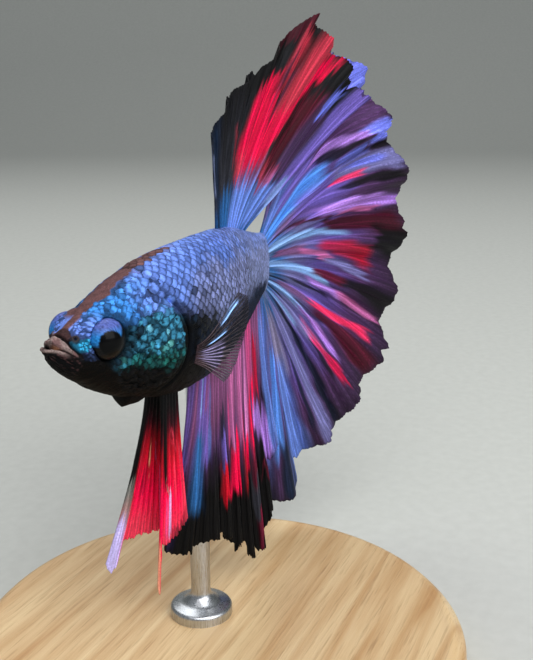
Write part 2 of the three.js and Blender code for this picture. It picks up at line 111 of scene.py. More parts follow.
ANAL = {
    "from": 18.5, "to": 40,
    "elevation": [(0, -92), (0.08, -98), (0.3, -94), (1, -94)],
    "length": [(0, 0.5), (0.08, 0.71), (0.25, 0.73), (0.45, 0.83), (0.62, 1), (0.75, 1.05), (0.85, 0.98),
               (0.93, 0.82), (1, 0.64)],
    "sway": [(0, -2.6), (0.08, -2.2), (0.17, -0.8), (0.26, 0.2), (0.5, 0.8), (0.75, 2), (1, 2)],
    "folds": 8, "fold_depth": 0.7, "front_fold": 1,
}
PELVICS = {
    "left": {
        "length": [(0, 0.96), (0.05, 1), (0.14, 0.78), (0.3, 0.75), (0.7, 0.72), (1, 0.65)],
        "back": [(0, -1), (0.3, -0.7), (1, 0.6)],
        "left": [(0, -0.6), (1, 0.5)],
    },
    "right": {
        "length": [(0, 0.84), (0.07, 0.89), (0.15, 0.86), (0.21, 0.75), (0.3, 0.73), (1, 0.72)],
        "back": [(0, -3), (0.3, -2), (1, 0)],
        "left": [(0, -3.3), (0.3, -2.2), (1, 0.7)],
    },
}
PELVIC_ROOT = {"along": 12.7, "side": 0.8, "width": 2.1}
PECTORAL = {
    "along": 14.0, "height": -2.3, "root_half_height": 0.7, "top": 47, "bottom": -42, "spread": 20,
    "length": [(0, 0.93), (0.1, 1), (0.25, 0.9), (0.5, 0.7), (1, 0.54)],
}

# ---- Looks ----
COAT_DEPTH = 0.12  # from the frame's surface in to the skin
SCALE_ROWS = 36  # of scales round the trunk
SKIN_ROWS = 296
SKIN_COLUMNS = 320
TRUNK_PARTS, HEAD_PARTS = 4, 2  # meshes that the scales are shared out among
PLATE_THICKNESS = 0.05  # of a scale
PLEATS_PER_RAY, CREASES_PER_RAY = 2, 8  # from each ray of a fin to the next
CREASE_DEPTH = 0.12  # in pleat depths
BAKE_PATCH = 0.003  # side of one scale's patch on the bake map
RIGHT_BAND = 2.1  # reach of the brown band down the right side, over that down the left
SEAT_DEPTH = 0.05  # of the rod's foot in the base
CORNEA_DOME = 0.03  # how far the cornea rises over the flattened eyeball, in bulges
SIDES = {"left": 1, "right": -1}
# How far each fin's root runs on into the body, past the end of its solid.
ROOT_DEPTH = {"dorsal": 1.3, "caudal": 2.2, "anal": 1.3, "pelvic": 1.2, "pectoral": 0.9}
BODY = "root"


def srgb(code):
    """Linear colour of a six-figure sRGB code."""
    parts = np.array([int(code[i:i + 2], 16) for i in (0, 2, 4)]) / 255
    return np.where(parts <= 0.04045, parts / 12.92, ((parts + 0.055) / 1.055) ** 2.4)


BLACK = srgb("060608")
NIGHT = srgb("14243c")
STEEL_BLUE = srgb("2d68a8")
BRIGHT_BLUE = srgb("5a9cff")
PALE_BLUE = srgb("8db6f2")
PERIWINKLE = srgb("6a8ae0")
GREY_BLUE = srgb("8e9cc8")
SKY = srgb("3c84d4")
TEAL = srgb("3b84a6")
BROWN = srgb("5e4142")
LIP = srgb("84726f")
TAN = srgb("b07a5c")
LILAC_GREY = srgb("9d95b8")
BRIGHT_CYAN = srgb("34a0d0")
PALE_CYAN = srgb("9fe0e4")
SEA_GREEN = srgb("22766e")
VIOLET = srgb("7a66c8")
LILAC = srgb("c08cf4")
MAUVE = srgb("8a4f80")
ROSE = srgb("d873b4")
PINK = srgb("f0559a")
CRIMSON = srgb("ee0548")
CORAL = srgb("e23b55")
RED = srgb("c80a26")
MAROON = srgb("5c1028")
DUSK = srgb("35243c")
CHARCOAL = srgb("2a2b33")
PLUM = srgb("5e3c70")
GREY_VIOLET = srgb("7d7cb8")
VIOLET_BLUE = srgb("7c88ff")
HOT_PINK = srgb("ff3468")
ORCHID = srgb("ee8cd4")
CREAM = srgb("f2b48c")
SLATE = srgb("84847e")
PALE_LILAC = srgb("c9bcf6")


# ---- Numbers ----
def lerp(low, high, t):
    return low + (high - low) * t


def smooth(low, high, value):
    """0 below low, 1 above high, and a smooth rise between. It falls instead if low is above high."""
    t = np.clip((value - low) / (high - low), 0, 1)
    return t * t * (3 - 2 * t)


def bump(value, width):
    return np.exp(-(value / width) ** 2)


def curve(pairs, place):
    """A smooth curve through (place, value) pairs, which holds its end values beyond the ends."""
    x, y = np.array(pairs, float).T
    index = np.arange(len(x))
    before = np.maximum(index - 1, 0)
    after = np.minimum(index + 1, len(x) - 1)
    slope = (y[after] - y[before]) / (x[after] - x[before])
    place = np.clip(place, x[0], x[-1])
    start = np.clip(np.searchsorted(x, place, side="right") - 1, 0, len(x) - 2)
    step = x[start + 1] - x[start]
    t = (place - x[start]) / step
    leave = t * (1 - t) ** 2 * step * slope[start]
    arrive = t * t * (t - 1) * step * slope[start + 1]
    return lerp(y[start], y[start + 1], t * t * (3 - 2 * t)) + leave + arrive


def wander(place, seed, count=512):
    """Smooth seeded noise from -1 to 1, with a knot at each whole number."""
    knots = np.random.default_rng(seed).uniform(-1, 1, count)
    floor = np.floor(place).astype(int)
    return lerp(knots[floor % count], knots[(floor + 1) % count], smooth(0, 1, place - floor))


def mottle(x, y, seed, count=128):
    """Smooth seeded noise from -1 to 1 over a plane, with a knot at each whole number."""
    knots = np.random.default_rng(seed).uniform(-1, 1, (count, count))
    i, j = np.floor(x).astype(int), np.floor(y).astype(int)
    s, t = smooth(0, 1, x - i), smooth(0, 1, y - j)
    low = lerp(knots[i % count, j % count], knots[(i + 1) % count, j % count], s)
    high = lerp(knots[i % count, (j + 1) % count], knots[(i + 1) % count, (j + 1) % count], s)
    return lerp(low, high, t)


def unit(vectors):
    return vectors / np.maximum(np.linalg.norm(vectors, axis=-1, keepdims=True), 1e-9)


# ---- Places on the fish ----
def spine(along):
    """Position and heading of the spine, walked as arcs whose heading turns evenly."""
    along = np.asarray(along, float)
    x, y = np.zeros_like(along), np.zeros_like(along)
    heading = np.full_like(along, math.radians(SPINE_HEADING[0][1]))
    for (start, first), (end, last) in zip(SPINE_HEADING[:-1], SPINE_HEADING[1:]):
        length = np.clip(along, start, end) - start
        turn = math.radians(last - first) * length / (end - start)
        middle = math.radians(first) + turn / 2
        bend = np.sinc(turn / 2 / math.pi)
        x = x + length * bend * np.cos(middle)
        y = y + length * bend * np.sin(middle)
        heading = heading + turn
    return x, y, heading


def left_of(heading):
    return np.stack([np.sin(heading), -np.cos(heading), np.zeros_like(heading)], -1)


def direction(heading, elevation):
    heading, elevation = np.broadcast_arrays(heading, elevation)
    flat = np.cos(elevation)
    return np.stack([flat * np.cos(heading), flat * np.sin(heading), np.sin(elevation)], -1)


def place(along, side, height):
    along, side, height = np.broadcast_arrays(*np.atleast_1d(along, side, height))
    x, y, heading = spine(along)
    return np.stack([x, y, height], -1) + left_of(heading) * side[..., None]


def section_lines(along):
    """Back, belly, widest line and half width of the body at distances along it."""
    at = SECTIONS[:, 0] * STANDARD_LENGTH
    units = (BODY_DEPTH, BODY_DEPTH, BODY_DEPTH, BODY_WIDTH)
    return [curve(np.stack([at, shares * size], -1), along) for shares, size in zip(SECTIONS.T[1:], units)]


def section_point(along, angle, size, inset):
    """Side and height on the section, at an angle round it from the left toward the back."""
    back, belly, widest, half = section_lines(along)
    is_roof = np.sin(angle) > 0
    edge = np.where(is_roof, back - inset, belly + inset)
    power = 2 / np.where(is_roof, curve(ROOF_POWER, along), SECTION_POWER)
    side = size * (half - inset) * np.sign(np.cos(angle)) * np.abs(np.cos(angle)) ** power
    return side, widest + size * (edge - widest) * np.abs(np.sin(angle)) ** power


def fullness(along):
    front = np.clip((along - COAT_DEPTH) / SNOUT_ROUNDING, 0, 1)
    rear = np.clip((STANDARD_LENGTH - COAT_DEPTH - along) / TAIL_ROUNDING, 0, 1)
    return np.sqrt(1 - (1 - front) ** 2) * np.sqrt(1 - (1 - rear) ** 2)


def fish_origin():
    """The snout's place in the row frame, in mm: the eyes' middle less its own offset."""
    corners = np.array([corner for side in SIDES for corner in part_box(f"eye_{side}")]) / MM
    middle = (corners.min(0) + corners.max(0)) / 2
    return middle - place(EYE["along"], 0, EYE["height"])[0]


ORIGIN = fish_origin()


# ---- Meshes ----
def linked(name, data):
    """A new object of the scene."""
    made = bpy.data.objects.new(name, data)
    bpy.context.scene.collection.objects.link(made)
    return made


def make_mesh(name, points, faces, material, values=None, paint=None, bake=None):
    """A piece from fish-frame points and a list of face arrays, with its attributes and bake map."""
    mesh = bpy.data.meshes.new(name)
    loops = np.concatenate([part.ravel() for part in faces]).astype(np.int32)
    sizes = np.concatenate([np.full(len(part), part.shape[1]) for part in faces])
    mesh.vertices.add(len(points))
    mesh.vertices.foreach_set("co", ((points + ORIGIN) * MM).astype(np.float32).ravel())
    mesh.loops.add(len(loops))
    mesh.loops.foreach_set("vertex_index", loops)
    mesh.polygons.add(len(sizes))
    mesh.polygons.foreach_set("loop_start", (np.cumsum(sizes) - sizes).astype(np.int32))
    mesh.update(calc_edges=True)
    mesh.shade_smooth()
    for key, value in (values or {}).items():
        data = mesh.attributes.new(key, "FLOAT", "POINT").data
        data.foreach_set("value", np.ravel(value).astype(np.float32))
    if paint is not None:
        opaque = np.concatenate([paint.reshape(-1, 3), np.ones((len(points), 1))], -1)
        data = mesh.attributes.new("paint", "FLOAT_COLOR", "POINT").data
        data.foreach_set("color", opaque.astype(np.float32).ravel())
    if bake is not None:
        layer = mesh.uv_layers.new(name="OFBake")
        corner = bake if len(bake) == len(loops) else bake[loops]
        layer.data.foreach_set("uv", corner.astype(np.float32).ravel())
    mesh.materials.append(material)
    piece = linked(name, mesh)
    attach(piece, BODY)
    return piece


def grid_quads(rows, columns, start=0, flip=False):
    """Quads over a grid of rows by columns points."""
    i, j = np.meshgrid(np.arange(rows - 1), np.arange(columns - 1), indexing="ij")
    a = (start + i * columns + j).ravel()
    quads = np.stack([a, a + columns, a + columns + 1, a + 1], -1)
    return quads[:, ::-1] if flip else quads


def grid_border(rows, columns):
    """The border points of a grid, in order round it."""
    grid = np.arange(rows * columns).reshape(rows, columns)
    return np.concatenate([grid[0, :-1], grid[:-1, -1], grid[-1, :0:-1], grid[:0:-1, 0]])


def sheet_faces(rows, columns):
    """Faces of a closed sheet: a front grid, a back grid after it, and the strip between their borders."""
    count = rows * columns
    border = grid_border(rows, columns)
    ahead = np.roll(border, -1)
    strip = np.stack([border, ahead, ahead + count, border + count], -1)
    return [grid_quads(rows, columns), grid_quads(rows, columns, count, flip=True), strip]


def tube_faces(rows, columns, flip=False):
    """Faces of a closed tube of rings. Its two end points come after the rings."""
    i, j = np.divmod(np.arange((rows - 1) * columns), columns)
    k = (j + 1) % columns
    quads = np.stack([i * columns + j, (i + 1) * columns + j, (i + 1) * columns + k, i * columns + k], -1)
    j = np.arange(columns)
    k = (j + 1) % columns
    last = (rows - 1) * columns
    first_cap = np.stack([np.full(columns, rows * columns), j, k], -1)
    last_cap = np.stack([np.full(columns, rows * columns + 1), last + k, last + j], -1)
    faces = [quads, first_cap, last_cap]
    return [part[:, ::-1] for part in faces] if flip else faces


def tube_bake(levels, columns):
    """Map of a tube's face corners: its own length by its own girth, cut along the first column."""
    i, j = np.divmod(np.arange((len(levels) - 1) * columns), columns)
    low, high, near, far = levels[i], levels[i + 1], j / columns, (j + 1) / columns
    quads = np.stack([low, near, high, near, high, far, low, far], -1)
    near, far = np.arange(columns) / columns, (np.arange(columns) + 1) / columns
    middle, zero, one = (near + far) / 2, np.zeros(columns), np.ones(columns)
    first, last = levels[0] * one, levels[-1] * one
    first_cap = np.stack([zero, middle, first, near, first, far], -1)
    last_cap = np.stack([one, middle, last, far, last, near], -1)
    return np.concatenate([part.reshape(-1, 2) for part in (quads, first_cap, last_cap)])


# ---- Node materials ----
class Look:
    """A node material and the nodes that feed its Principled shader.

    The shader's constant inputs are given by name, with _ for a space.
    """

    def __init__(self, name, **constants):
        self.material = bpy.data.materials.new(name)
        self.material.use_nodes = True
        self.tree = self.material.node_tree
        self.shader = self.tree.nodes["Principled BSDF"]
        for key, value in constants.items():
            self.shader.inputs[key.replace("_", " ")].default_value = value

    def node(self, kind, inputs=None, **settings):
        made = self.tree.nodes.new(kind)
        for key, value in settings.items():
            setattr(made, key, value)
        for socket, value in (inputs or {}).items():
            if isinstance(value, bpy.types.NodeSocket):
                self.tree.links.new(value, made.inputs[socket])
            else:
                made.inputs[socket].default_value = value
        return made

    def feed(self, **values):
        """Links values to the shader's inputs, named as for the constants."""
        for key, value in values.items():
            self.tree.links.new(value, self.shader.inputs[key.replace("_", " ")])

    def attribute(self, name, output="Fac"):
        return self.node("ShaderNodeAttribute", attribute_name=name).outputs[output]

    def math(self, operation, first, second=0.0):
        return self.node("ShaderNodeMath", {0: first, 1: second}, operation=operation).outputs[0]

    def times(self, first, second):
        return self.math("MULTIPLY", first, second)

    def mix(self, factor, first, second, mode="MIX"):
        inputs = {0: factor, 6: first, 7: second}
        return self.node("ShaderNodeMix", inputs, data_type="RGBA", blend_type=mode).outputs[2]

    def shaded(self, colour, tone):
        """A colour made lighter or darker by a grey value."""
        grey = self.node("ShaderNodeCombineColor", {0: tone, 1: tone, 2: tone}).outputs[0]
        return self.mix(1.0, colour, grey, "MULTIPLY")

    def span(self, value, low, high, to_low=0.0, to_high=1.0):
        inputs = {0: value, 1: low, 2: high, 3: to_low, 4: to_high}
        return self.node("ShaderNodeMapRange", inputs).outputs[0]

    def noise(self, vector, scale, detail=3.0, distortion=0.0):
        inputs = {"Vector": vector, "Scale": scale, "Detail": detail, "Distortion": distortion}
        return self.node("ShaderNodeTexNoise", inputs).outputs["Fac"]

    def object_place(self, stretch=(1, 1, 1)):
        """Object coordinates in millimetres, stretched."""
        metres = self.node("ShaderNodeTexCoord").outputs["Object"]
        scale = [part / MM for part in stretch]
        return self.node("ShaderNodeVectorMath", {0: metres, 1: scale}, operation="MULTIPLY").outputs[0]

    def combine(self, x, y, z=0.0):
        return self.node("ShaderNodeCombineXYZ", {0: x, 1: y, 2: z}).outputs[0]

    def relief(self, height, depth):
        """Bump from a height of 0 to 1 that stands for a depth in millimetres."""
        inputs = {"Height": height, "Distance": depth * MM, "Strength": 1.0}
        self.feed(Normal=self.node("ShaderNodeBump", inputs).outputs[0])


def rgba(code):
    """Linear colour of an sRGB code, with full alpha."""
    return (*srgb(code), 1.0)


# ---- Skin form ----
def angle_table():
    """Angle round the section at even steps of girth, for a run of distances."""
    along = np.linspace(0, STANDARD_LENGTH, 211)
    angle = np.linspace(-math.pi / 2, 1.5 * math.pi, 1441)
    side, height = section_point(along[:, None], angle[None], 1, COAT_DEPTH)
    steps = np.hypot(np.diff(side), np.diff(height))
    lengths = np.concatenate([np.zeros((len(along), 1)), np.cumsum(steps, 1)], 1)
    girth = np.linspace(0, 1, 361)
    table = np.stack([np.interp(girth * row[-1], row, angle) for row in lengths])
    return table, lengths[:, -1]


ANGLES, PERIMETERS = angle_table()


def look_up(table, row, column):
    """Values between the points of a table, at fractional rows and columns."""
    i = np.clip(np.floor(row).astype(int), 0, table.shape[0] - 2)
    j = np.clip(np.floor(column).astype(int), 0, table.shape[1] - 2)
    s, t = row - i, column - j
    if table.ndim > 2:
        s, t = s[..., None], t[..., None]
    near = lerp(table[i, j], table[i, j + 1], t)
    return lerp(near, lerp(table[i + 1, j], table[i + 1, j + 1], t), s)


def perimeter(along):
    return np.interp(along, np.linspace(0, STANDARD_LENGTH, len(PERIMETERS)), PERIMETERS)


def skin_section(along, girth):
    """Side and height of the bare skin."""
    row = along / STANDARD_LENGTH * (ANGLES.shape[0] - 1)
    angle = look_up(ANGLES, row, girth * (ANGLES.shape[1] - 1))
    return section_point(along, angle, fullness(along), COAT_DEPTH)


def fold_place(height):
    """How far back the fold behind the upper lip lies, at heights down the lip."""
    return 1.54 + 0.16 * smooth(2.1, 1.3, height) + 0.25 * smooth(1.2, 0.6, height)


def mouth_relief(along, side, height):
    """The mouth's cleft, the rolled lips and the hood of the upper lip, as height over the skin."""
    front = smooth(0.1, 0.3, along) * (1 - smooth(0.75, 1.1, along))
    over_cleft = height - curve(MOUTH_LINE, along)
    gap = lerp(0.05, 0.12, front)
    depth = lerp(0.14, 0.5, front)
    cleft = -depth * bump(over_cleft, gap) * (1 - smooth(1.5, 2.0, along))
    lower_lip = 0.12 * bump(over_cleft + 0.2, 0.11) * (1 - smooth(0.9, 1.6, along))
    upper_lip = 0.12 * bump(over_cleft - 0.3, 0.14) * (1 - smooth(1.0, 1.8, along))
    fold_at = fold_place(height)
    upper = smooth(0.1, 0.4, over_cleft)
    hood = 0.14 * upper * (1 - smooth(fold_at - 0.12, fold_at + 0.04, along))
    fold = -0.24 * upper * bump(along - fold_at - 0.1, 0.1)
    chin = -0.1 * bump(over_cleft + 0.8, 0.12) * (1 - smooth(1.2, 2.4, along))
    creases = 0.05 * mottle(along * 2.6, height * 3.4 + 9 * side, 14)
    wrinkles = (creases + 0.03 * mottle(along * 7, height * 7 + 9 * side, 13)) * (1 - smooth(1.8, 2.6, along))
    return cleft + lower_lip + upper_lip + hood + fold + chin + wrinkles


def nostril_far(along, side, height):
    """Distance from the middle of the nostril on the same side."""
    offset = (along - NOSTRIL["along"], np.abs(side) - NOSTRIL["side"], height - NOSTRIL["height"])
    return np.sqrt(sum(part ** 2 for part in offset))


def nostril_relief(along, side, height):
    """A raised rim round a pit."""
    far = nostril_far(along, side, height)
    return 0.26 * bump(far - 0.22, 0.1) - 0.4 * bump(far, 0.12)


def gill_reach(along, height):
    """1 on the outline of the gill cover's scaled plate, less inside it."""
    return np.hypot((along - GILL_PLATE["along"]) / GILL_PLATE["half_length"],
                    (height - GILL_PLATE["height"]) / GILL_PLATE["half_height"])


def gill_relief(along, height):
    """The gill cover's plate and its membrane, the slit behind them and the groove ahead of them."""
    reach = gill_reach(along, height)
    rear = smooth(8.4, 10.4, along)
    plate = 0.22 * (1 - smooth(0.97, 1.02, reach)) * rear
    membrane = 0.08 * (1 - smooth(1.17, 1.22, reach)) * rear
    slit = -0.55 * bump(reach - 1.28, 0.05) * smooth(10.4, 11.8, along)
    groove_at = 7.4 + 0.0875 * (height + 1) ** 2
    groove = -0.12 * bump(along - groove_at, 0.16) * smooth(-4.2, -3.2, height) * smooth(1.6, 0.6, height)
    return np.maximum(plate, membrane) + slit + groove


def lobe_drop(along, side, height):
    """How far the free edge of the gill membrane hangs below the throat."""
    offset = along - THROAT_LOBE["along"]
    reach = np.hypot(offset / np.where(offset < 0, THROAT_LOBE["front"], THROAT_LOBE["rear"]),
                     side / THROAT_LOBE["half_width"])
    shape = np.clip(1 - reach, 0, 1) ** 0.6
    return THROAT_LOBE["drop"] * shape * smooth(-3.6, -4.4, height)


def orbit_side(along, side, height):
    """Side of the skin near the eye, which dips to meet the eyeball close to its widest circle."""
    far = np.hypot(along - EYE["along"], height - EYE["height"])
    reach = np.abs(side)
    hidden = EYE["side"] - 0.5
    rear_lid = 0.4 * smooth(0, 1.3, along - EYE["along"])
    meets = np.clip(reach, EYE["side"] - 0.3, EYE["side"] + 0.02 + rear_lid)
    lid = 0.07 * bump(far - EYE["radius"] - 0.16, 0.1)
    outside = lerp(meets, reach, smooth(EYE["radius"] + 0.05, EYE["radius"] + 0.5, far)) + lid
    inside = lerp(hidden, meets, smooth(EYE["radius"] - 0.15, EYE["radius"] + 0.05, far))
    target = np.where(far < EYE["radius"] + 0.05, inside, outside)
    near = smooth(0.7, 1.2, reach) * (1 - smooth(2.3, 2.5, far))
    return np.sign(side) * lerp(reach, target, near)


def skin_rows():
    """Distances of the skin's rows, closest at the snout and over the head."""
    density = [(0, 70), (0.6, 22), (3, 14), (13.4, 14), (15.5, 5), (40.5, 4), (41.4, 14), (42, 40)]
    fine = np.linspace(COAT_DEPTH, STANDARD_LENGTH - COAT_DEPTH, 4000)
    total = np.cumsum(curve(density, fine))
    total = (total - total[0]) / (total[-1] - total[0])
    return np.interp(np.linspace(0, 1, SKIN_ROWS + 2), total, fine)[1:-1]


class Skin:
    """The displaced skin on a grid, which scales and colours are laid on."""

    def __init__(self):
        self.rows = skin_rows()
        self.girths = np.arange(SKIN_COLUMNS) / SKIN_COLUMNS
        along, girth = np.meshgrid(self.rows, self.girths, indexing="ij")
        side, height = skin_section(along, girth)
        self.along, self.girth, self.height = along, girth, height
        side = orbit_side(along, side, height)
        bare = place(along, side, height)
        normals = self.normals_of(bare)
        rise = mouth_relief(along, side, height) + nostril_relief(along, side, height)
        rise = rise + gill_relief(along, height)
        rise = rise + self.bone_relief(along, side, height)
        self.side = side
        self.points = bare + normals * rise[..., None]
        self.points[..., 2] -= lobe_drop(along, side, height)
        self.normals = self.normals_of(self.points)

    @staticmethod
    def bone_relief(along, side, height):
        """Low swells and pits of the head's bones, under its scales."""
        head = smooth(1.5, 3.0, along) * (1 - smooth(12, 14, along))
        swells = 0.05 * mottle(along * 1.1, height * 1.1 + np.sign(side) * 31, 11)
        pits = 0.03 * mottle(along * 3.1, height * 3.1 + np.sign(side) * 17, 12)
        return head * (swells + pits)

    @staticmethod
    def normals_of(points):
        along = np.gradient(points, axis=0)
        around = np.roll(points, -1, 1) - np.roll(points, 1, 1)
        return unit(np.cross(along, around))

    def sample(self, along, girth):
        """Position and normal of the skin at places on it."""
        row = np.interp(along, self.rows, np.arange(SKIN_ROWS))
        column = (girth % 1) * SKIN_COLUMNS
        wrapped = np.concatenate([self.points, self.points[:, :1]], 1)
        wrapped_normals = np.concatenate([self.normals, self.normals[:, :1]], 1)
        return look_up(wrapped, row, column), unit(look_up(wrapped_normals, row, column))

    def mesh(self, material):
        rows, columns = self.along.shape
        rings = self.points.reshape(-1, 3)
        ends = np.stack([self.points[0].mean(0), self.points[-1].mean(0)])
        paint = body_paint(self.along, self.girth, self.side, self.height)
        paint = (paint * self.gap_shade()[..., None]).reshape(-1, 3)
        paint = np.concatenate([paint, paint[:1], paint[-1:]])
        shine = np.append(body_shine(self.along, self.girth).ravel(), [0, 0])
        bake = tube_bake(self.rows / STANDARD_LENGTH, columns)
        return make_mesh("skin", np.concatenate([rings, ends]), tube_faces(rows, columns), material,
                         {"shine": shine}, paint, bake)

    def gap_shade(self):
        """The skin is dark in the gaps between its scales, and bare on the snout, jaws and brown band."""
        patches = snout_patch(self.along, from_back(self.girth)) + (suborbital(self.along, self.height) < 1.2)
        shade = lerp(1.0, 0.22, np.clip(smooth(2.1, 2.5, self.along) + patches, 0, 1))
        band = smooth(-0.01, 0.01, band_depth(self.along, self.girth)) * (self.along < 10.2)
        return lerp(shade, 1.0, band)


# ---- Markings of the body, shared by skin and scales ----
def from_back(girth):
    """0 on the back, 1 on the belly."""
    return np.abs(girth - 0.5) * 2


def band_depth(along, girth):
    """How far inside the bare brown band of the back a place lies, as a share of the way to the belly.

    The band reaches further down the right side than the left, and its edges are ragged.
    """
    edge = curve([(2, 0.1), (4, 0.065), (8, 0.055), (12, 0.04), (14.5, 0.01)], along)
    edge = edge * np.where(girth > 0.5, RIGHT_BAND, 1)
    broken = 0.024 * mottle(along * 1.5, girth * perimeter(along) * 1.5, 23)
    return edge + broken - from_back(girth)


class Coat:
    """Linear colour at places on the skin, made of tones laid over one another."""

    def __init__(self, along, girth, side, height):
        self.along, self.girth, self.side, self.height = along, girth, side, height
        self.down = from_back(girth)
        self.around = girth * perimeter(along)
        self.over_cleft = height - curve(MOUTH_LINE, along)
        self.blot = mottle(along * 0.8, self.around * 0.8, 21)
        self.fine = mottle(along * 2.3, self.around * 2.3, 22)
        self.colour = PERIWINKLE

    def lay(self, tone, amount):
        self.colour = lerp(self.colour, tone, np.clip(amount, 0, 1)[..., None])


def body_paint(along, girth, side, height):
    """Linear colour of the body at places on the skin."""
    coat = Coat(along, girth, side, height)
    for paint in (paint_flank, paint_cheek, paint_gill_edge, paint_eye_ring, paint_shadows, paint_band,
                  paint_snout, paint_lips):
        paint(coat)
    return coat.colour


def paint_flank(coat):
    """A grey violet flank that turns grey blue toward the tail."""
    flank = smooth(0.12, 0.32, coat.down + 0.1 * coat.blot) * smooth(11.5, 14.5, coat.along)
    coat.lay(lerp(GREY_VIOLET, GREY_BLUE, 0.55), flank * 0.9)
    coat.lay(GREY_BLUE, smooth(20, 30, coat.along + 2 * coat.blot) * 0.6)


def paint_cheek(coat):
    """A blue crown over a teal cheek, which is flecked with sea green and pale cyan."""
    along, down, fine = coat.along, coat.down, coat.fine
    coat.lay(SKY, smooth(9.5, 6.0, along + 0.8 * coat.blot) * smooth(0.62, 0.38, down))
    coat.lay(TEAL * 0.7, smooth(0.38, 0.44, down) * smooth(13, 12, along))
    cheek = np.hypot((along - 8.6) / 4.8, (down - 0.51) / 0.18) + 0.12 * coat.blot
    coat.lay(TEAL, smooth(1.15, 0.85, cheek))
    coat.lay(SEA_GREEN, smooth(0.3, 0.7, fine) * smooth(1.0, 0.8, cheek) * smooth(0.45, 0.58, down) * 0.8)
    coat.lay(PALE_CYAN, smooth(0.6, 0.85, fine) * smooth(1.0, 0.8, cheek) * 0.2)


def paint_gill_edge(coat):
    """Black round the rear of the gill cover's scaled plate."""
    along = coat.along
    outside = smooth(1.0, 1.04, gill_reach(along, coat.height))
    ends = smooth(10.2, 11.2, along) * (along < 17) * smooth(16.5, 15, along + coat.blot)
    coat.lay(BLACK, outside * ends * smooth(0.34, 0.48, coat.down))


def paint_eye_ring(coat):
    """Black below and behind the eye."""
    back, up = coat.along - EYE["along"], coat.height - EYE["height"]
    far = np.hypot(back, up)
    below_behind = smooth(-0.3, 0.3, (0.5 * back - 1.1 * up) / far)
    ring = smooth(EYE["radius"] + 0.75, EYE["radius"] + 0.4, far + 0.15 * coat.fine)
    coat.lay(BLACK, ring * below_behind * 0.8)


def paint_shadows(coat):
    """Dark pits between the fore body's scales, and a lower flank and throat that darken downward."""
    along, down, blot = coat.along, coat.down, coat.blot
    pits = mottle(along * 2.9, coat.around * 2.9, 27)
    coat.lay(NIGHT * 0.4, smooth(0.45, 0.75, pits) * smooth(20, 14, along) * smooth(3.6, 4.4, along) * 0.75)
    dark_from = 0.5 + 0.12 * smooth(33, 38, along) + 0.04 * blot
    lower_flank = smooth(12.6, 14, along) * (1 - smooth(38.5, 41, along))
    coat.lay(NIGHT * 0.7, smooth(dark_from - 0.08, dark_from + 0.12, down) * lower_flank)
    coat.lay(SEA_GREEN * 0.6, smooth(0.55, 0.62, down) * smooth(5, 6, along) * smooth(13, 12, along) * 0.9)
    throat = 0.64 + 0.03 * blot - 0.12 * smooth(5.5, 3.5, along)
    coat.lay(BLACK, smooth(throat - 0.02, throat + 0.05, down) * (1 - smooth(14, 18, along)))


def paint_band(coat):
    """The bare brown band of the back."""
    inside = smooth(-0.008, 0.008, band_depth(coat.along, coat.girth))
    coat.lay(BROWN, inside * (1 - smooth(14, 15.5, coat.along)))


def paint_snout(coat):
    """A dark brown snout, blue patches on top of it and below the eye, black below, pale nostril rims, and
    painted shade in the nostril pits.
    """
    along, height, fine = coat.along, coat.height, coat.fine
    coat.lay(BROWN * 0.35, smooth(2.9, 2.2, along + 0.4 * fine))
    coat.lay(PERIWINKLE, snout_patch(along, coat.down) * smooth(4.2, 3.4, along) * 0.9)
    coat.lay(BRIGHT_CYAN, smooth(1.05, 0.8, suborbital(along, height) + 0.2 * fine) * (along < 3.4))
    coat.lay(BLACK, smooth(0.85, 0.45, height + 0.1 * coat.blot) * smooth(5.4, 4.4, along) * 0.88)
    far = nostril_far(along, coat.side, height)
    coat.lay(LIP * 0.8, bump(far - 0.22, 0.12))
    # Painted shade in the nostril's pit.
    coat.lay(BLACK, bump(far, 0.13) * 1.2)


def snout_patch(along, down):
    """1 on the scaled patches of the snout's top, beside the band, and 0 round them."""
    return smooth(0.26, 0.22, np.abs(down - 0.3) + 0.5 * np.maximum(2.5 - along, 0)) * smooth(1.9, 2.2, along)


def suborbital(along, height):
    """1 on the outline of the bright patch below and ahead of the eye, less inside it."""
    return np.hypot((along - 2.45) / 0.62, (height - 1.15) / 0.55)


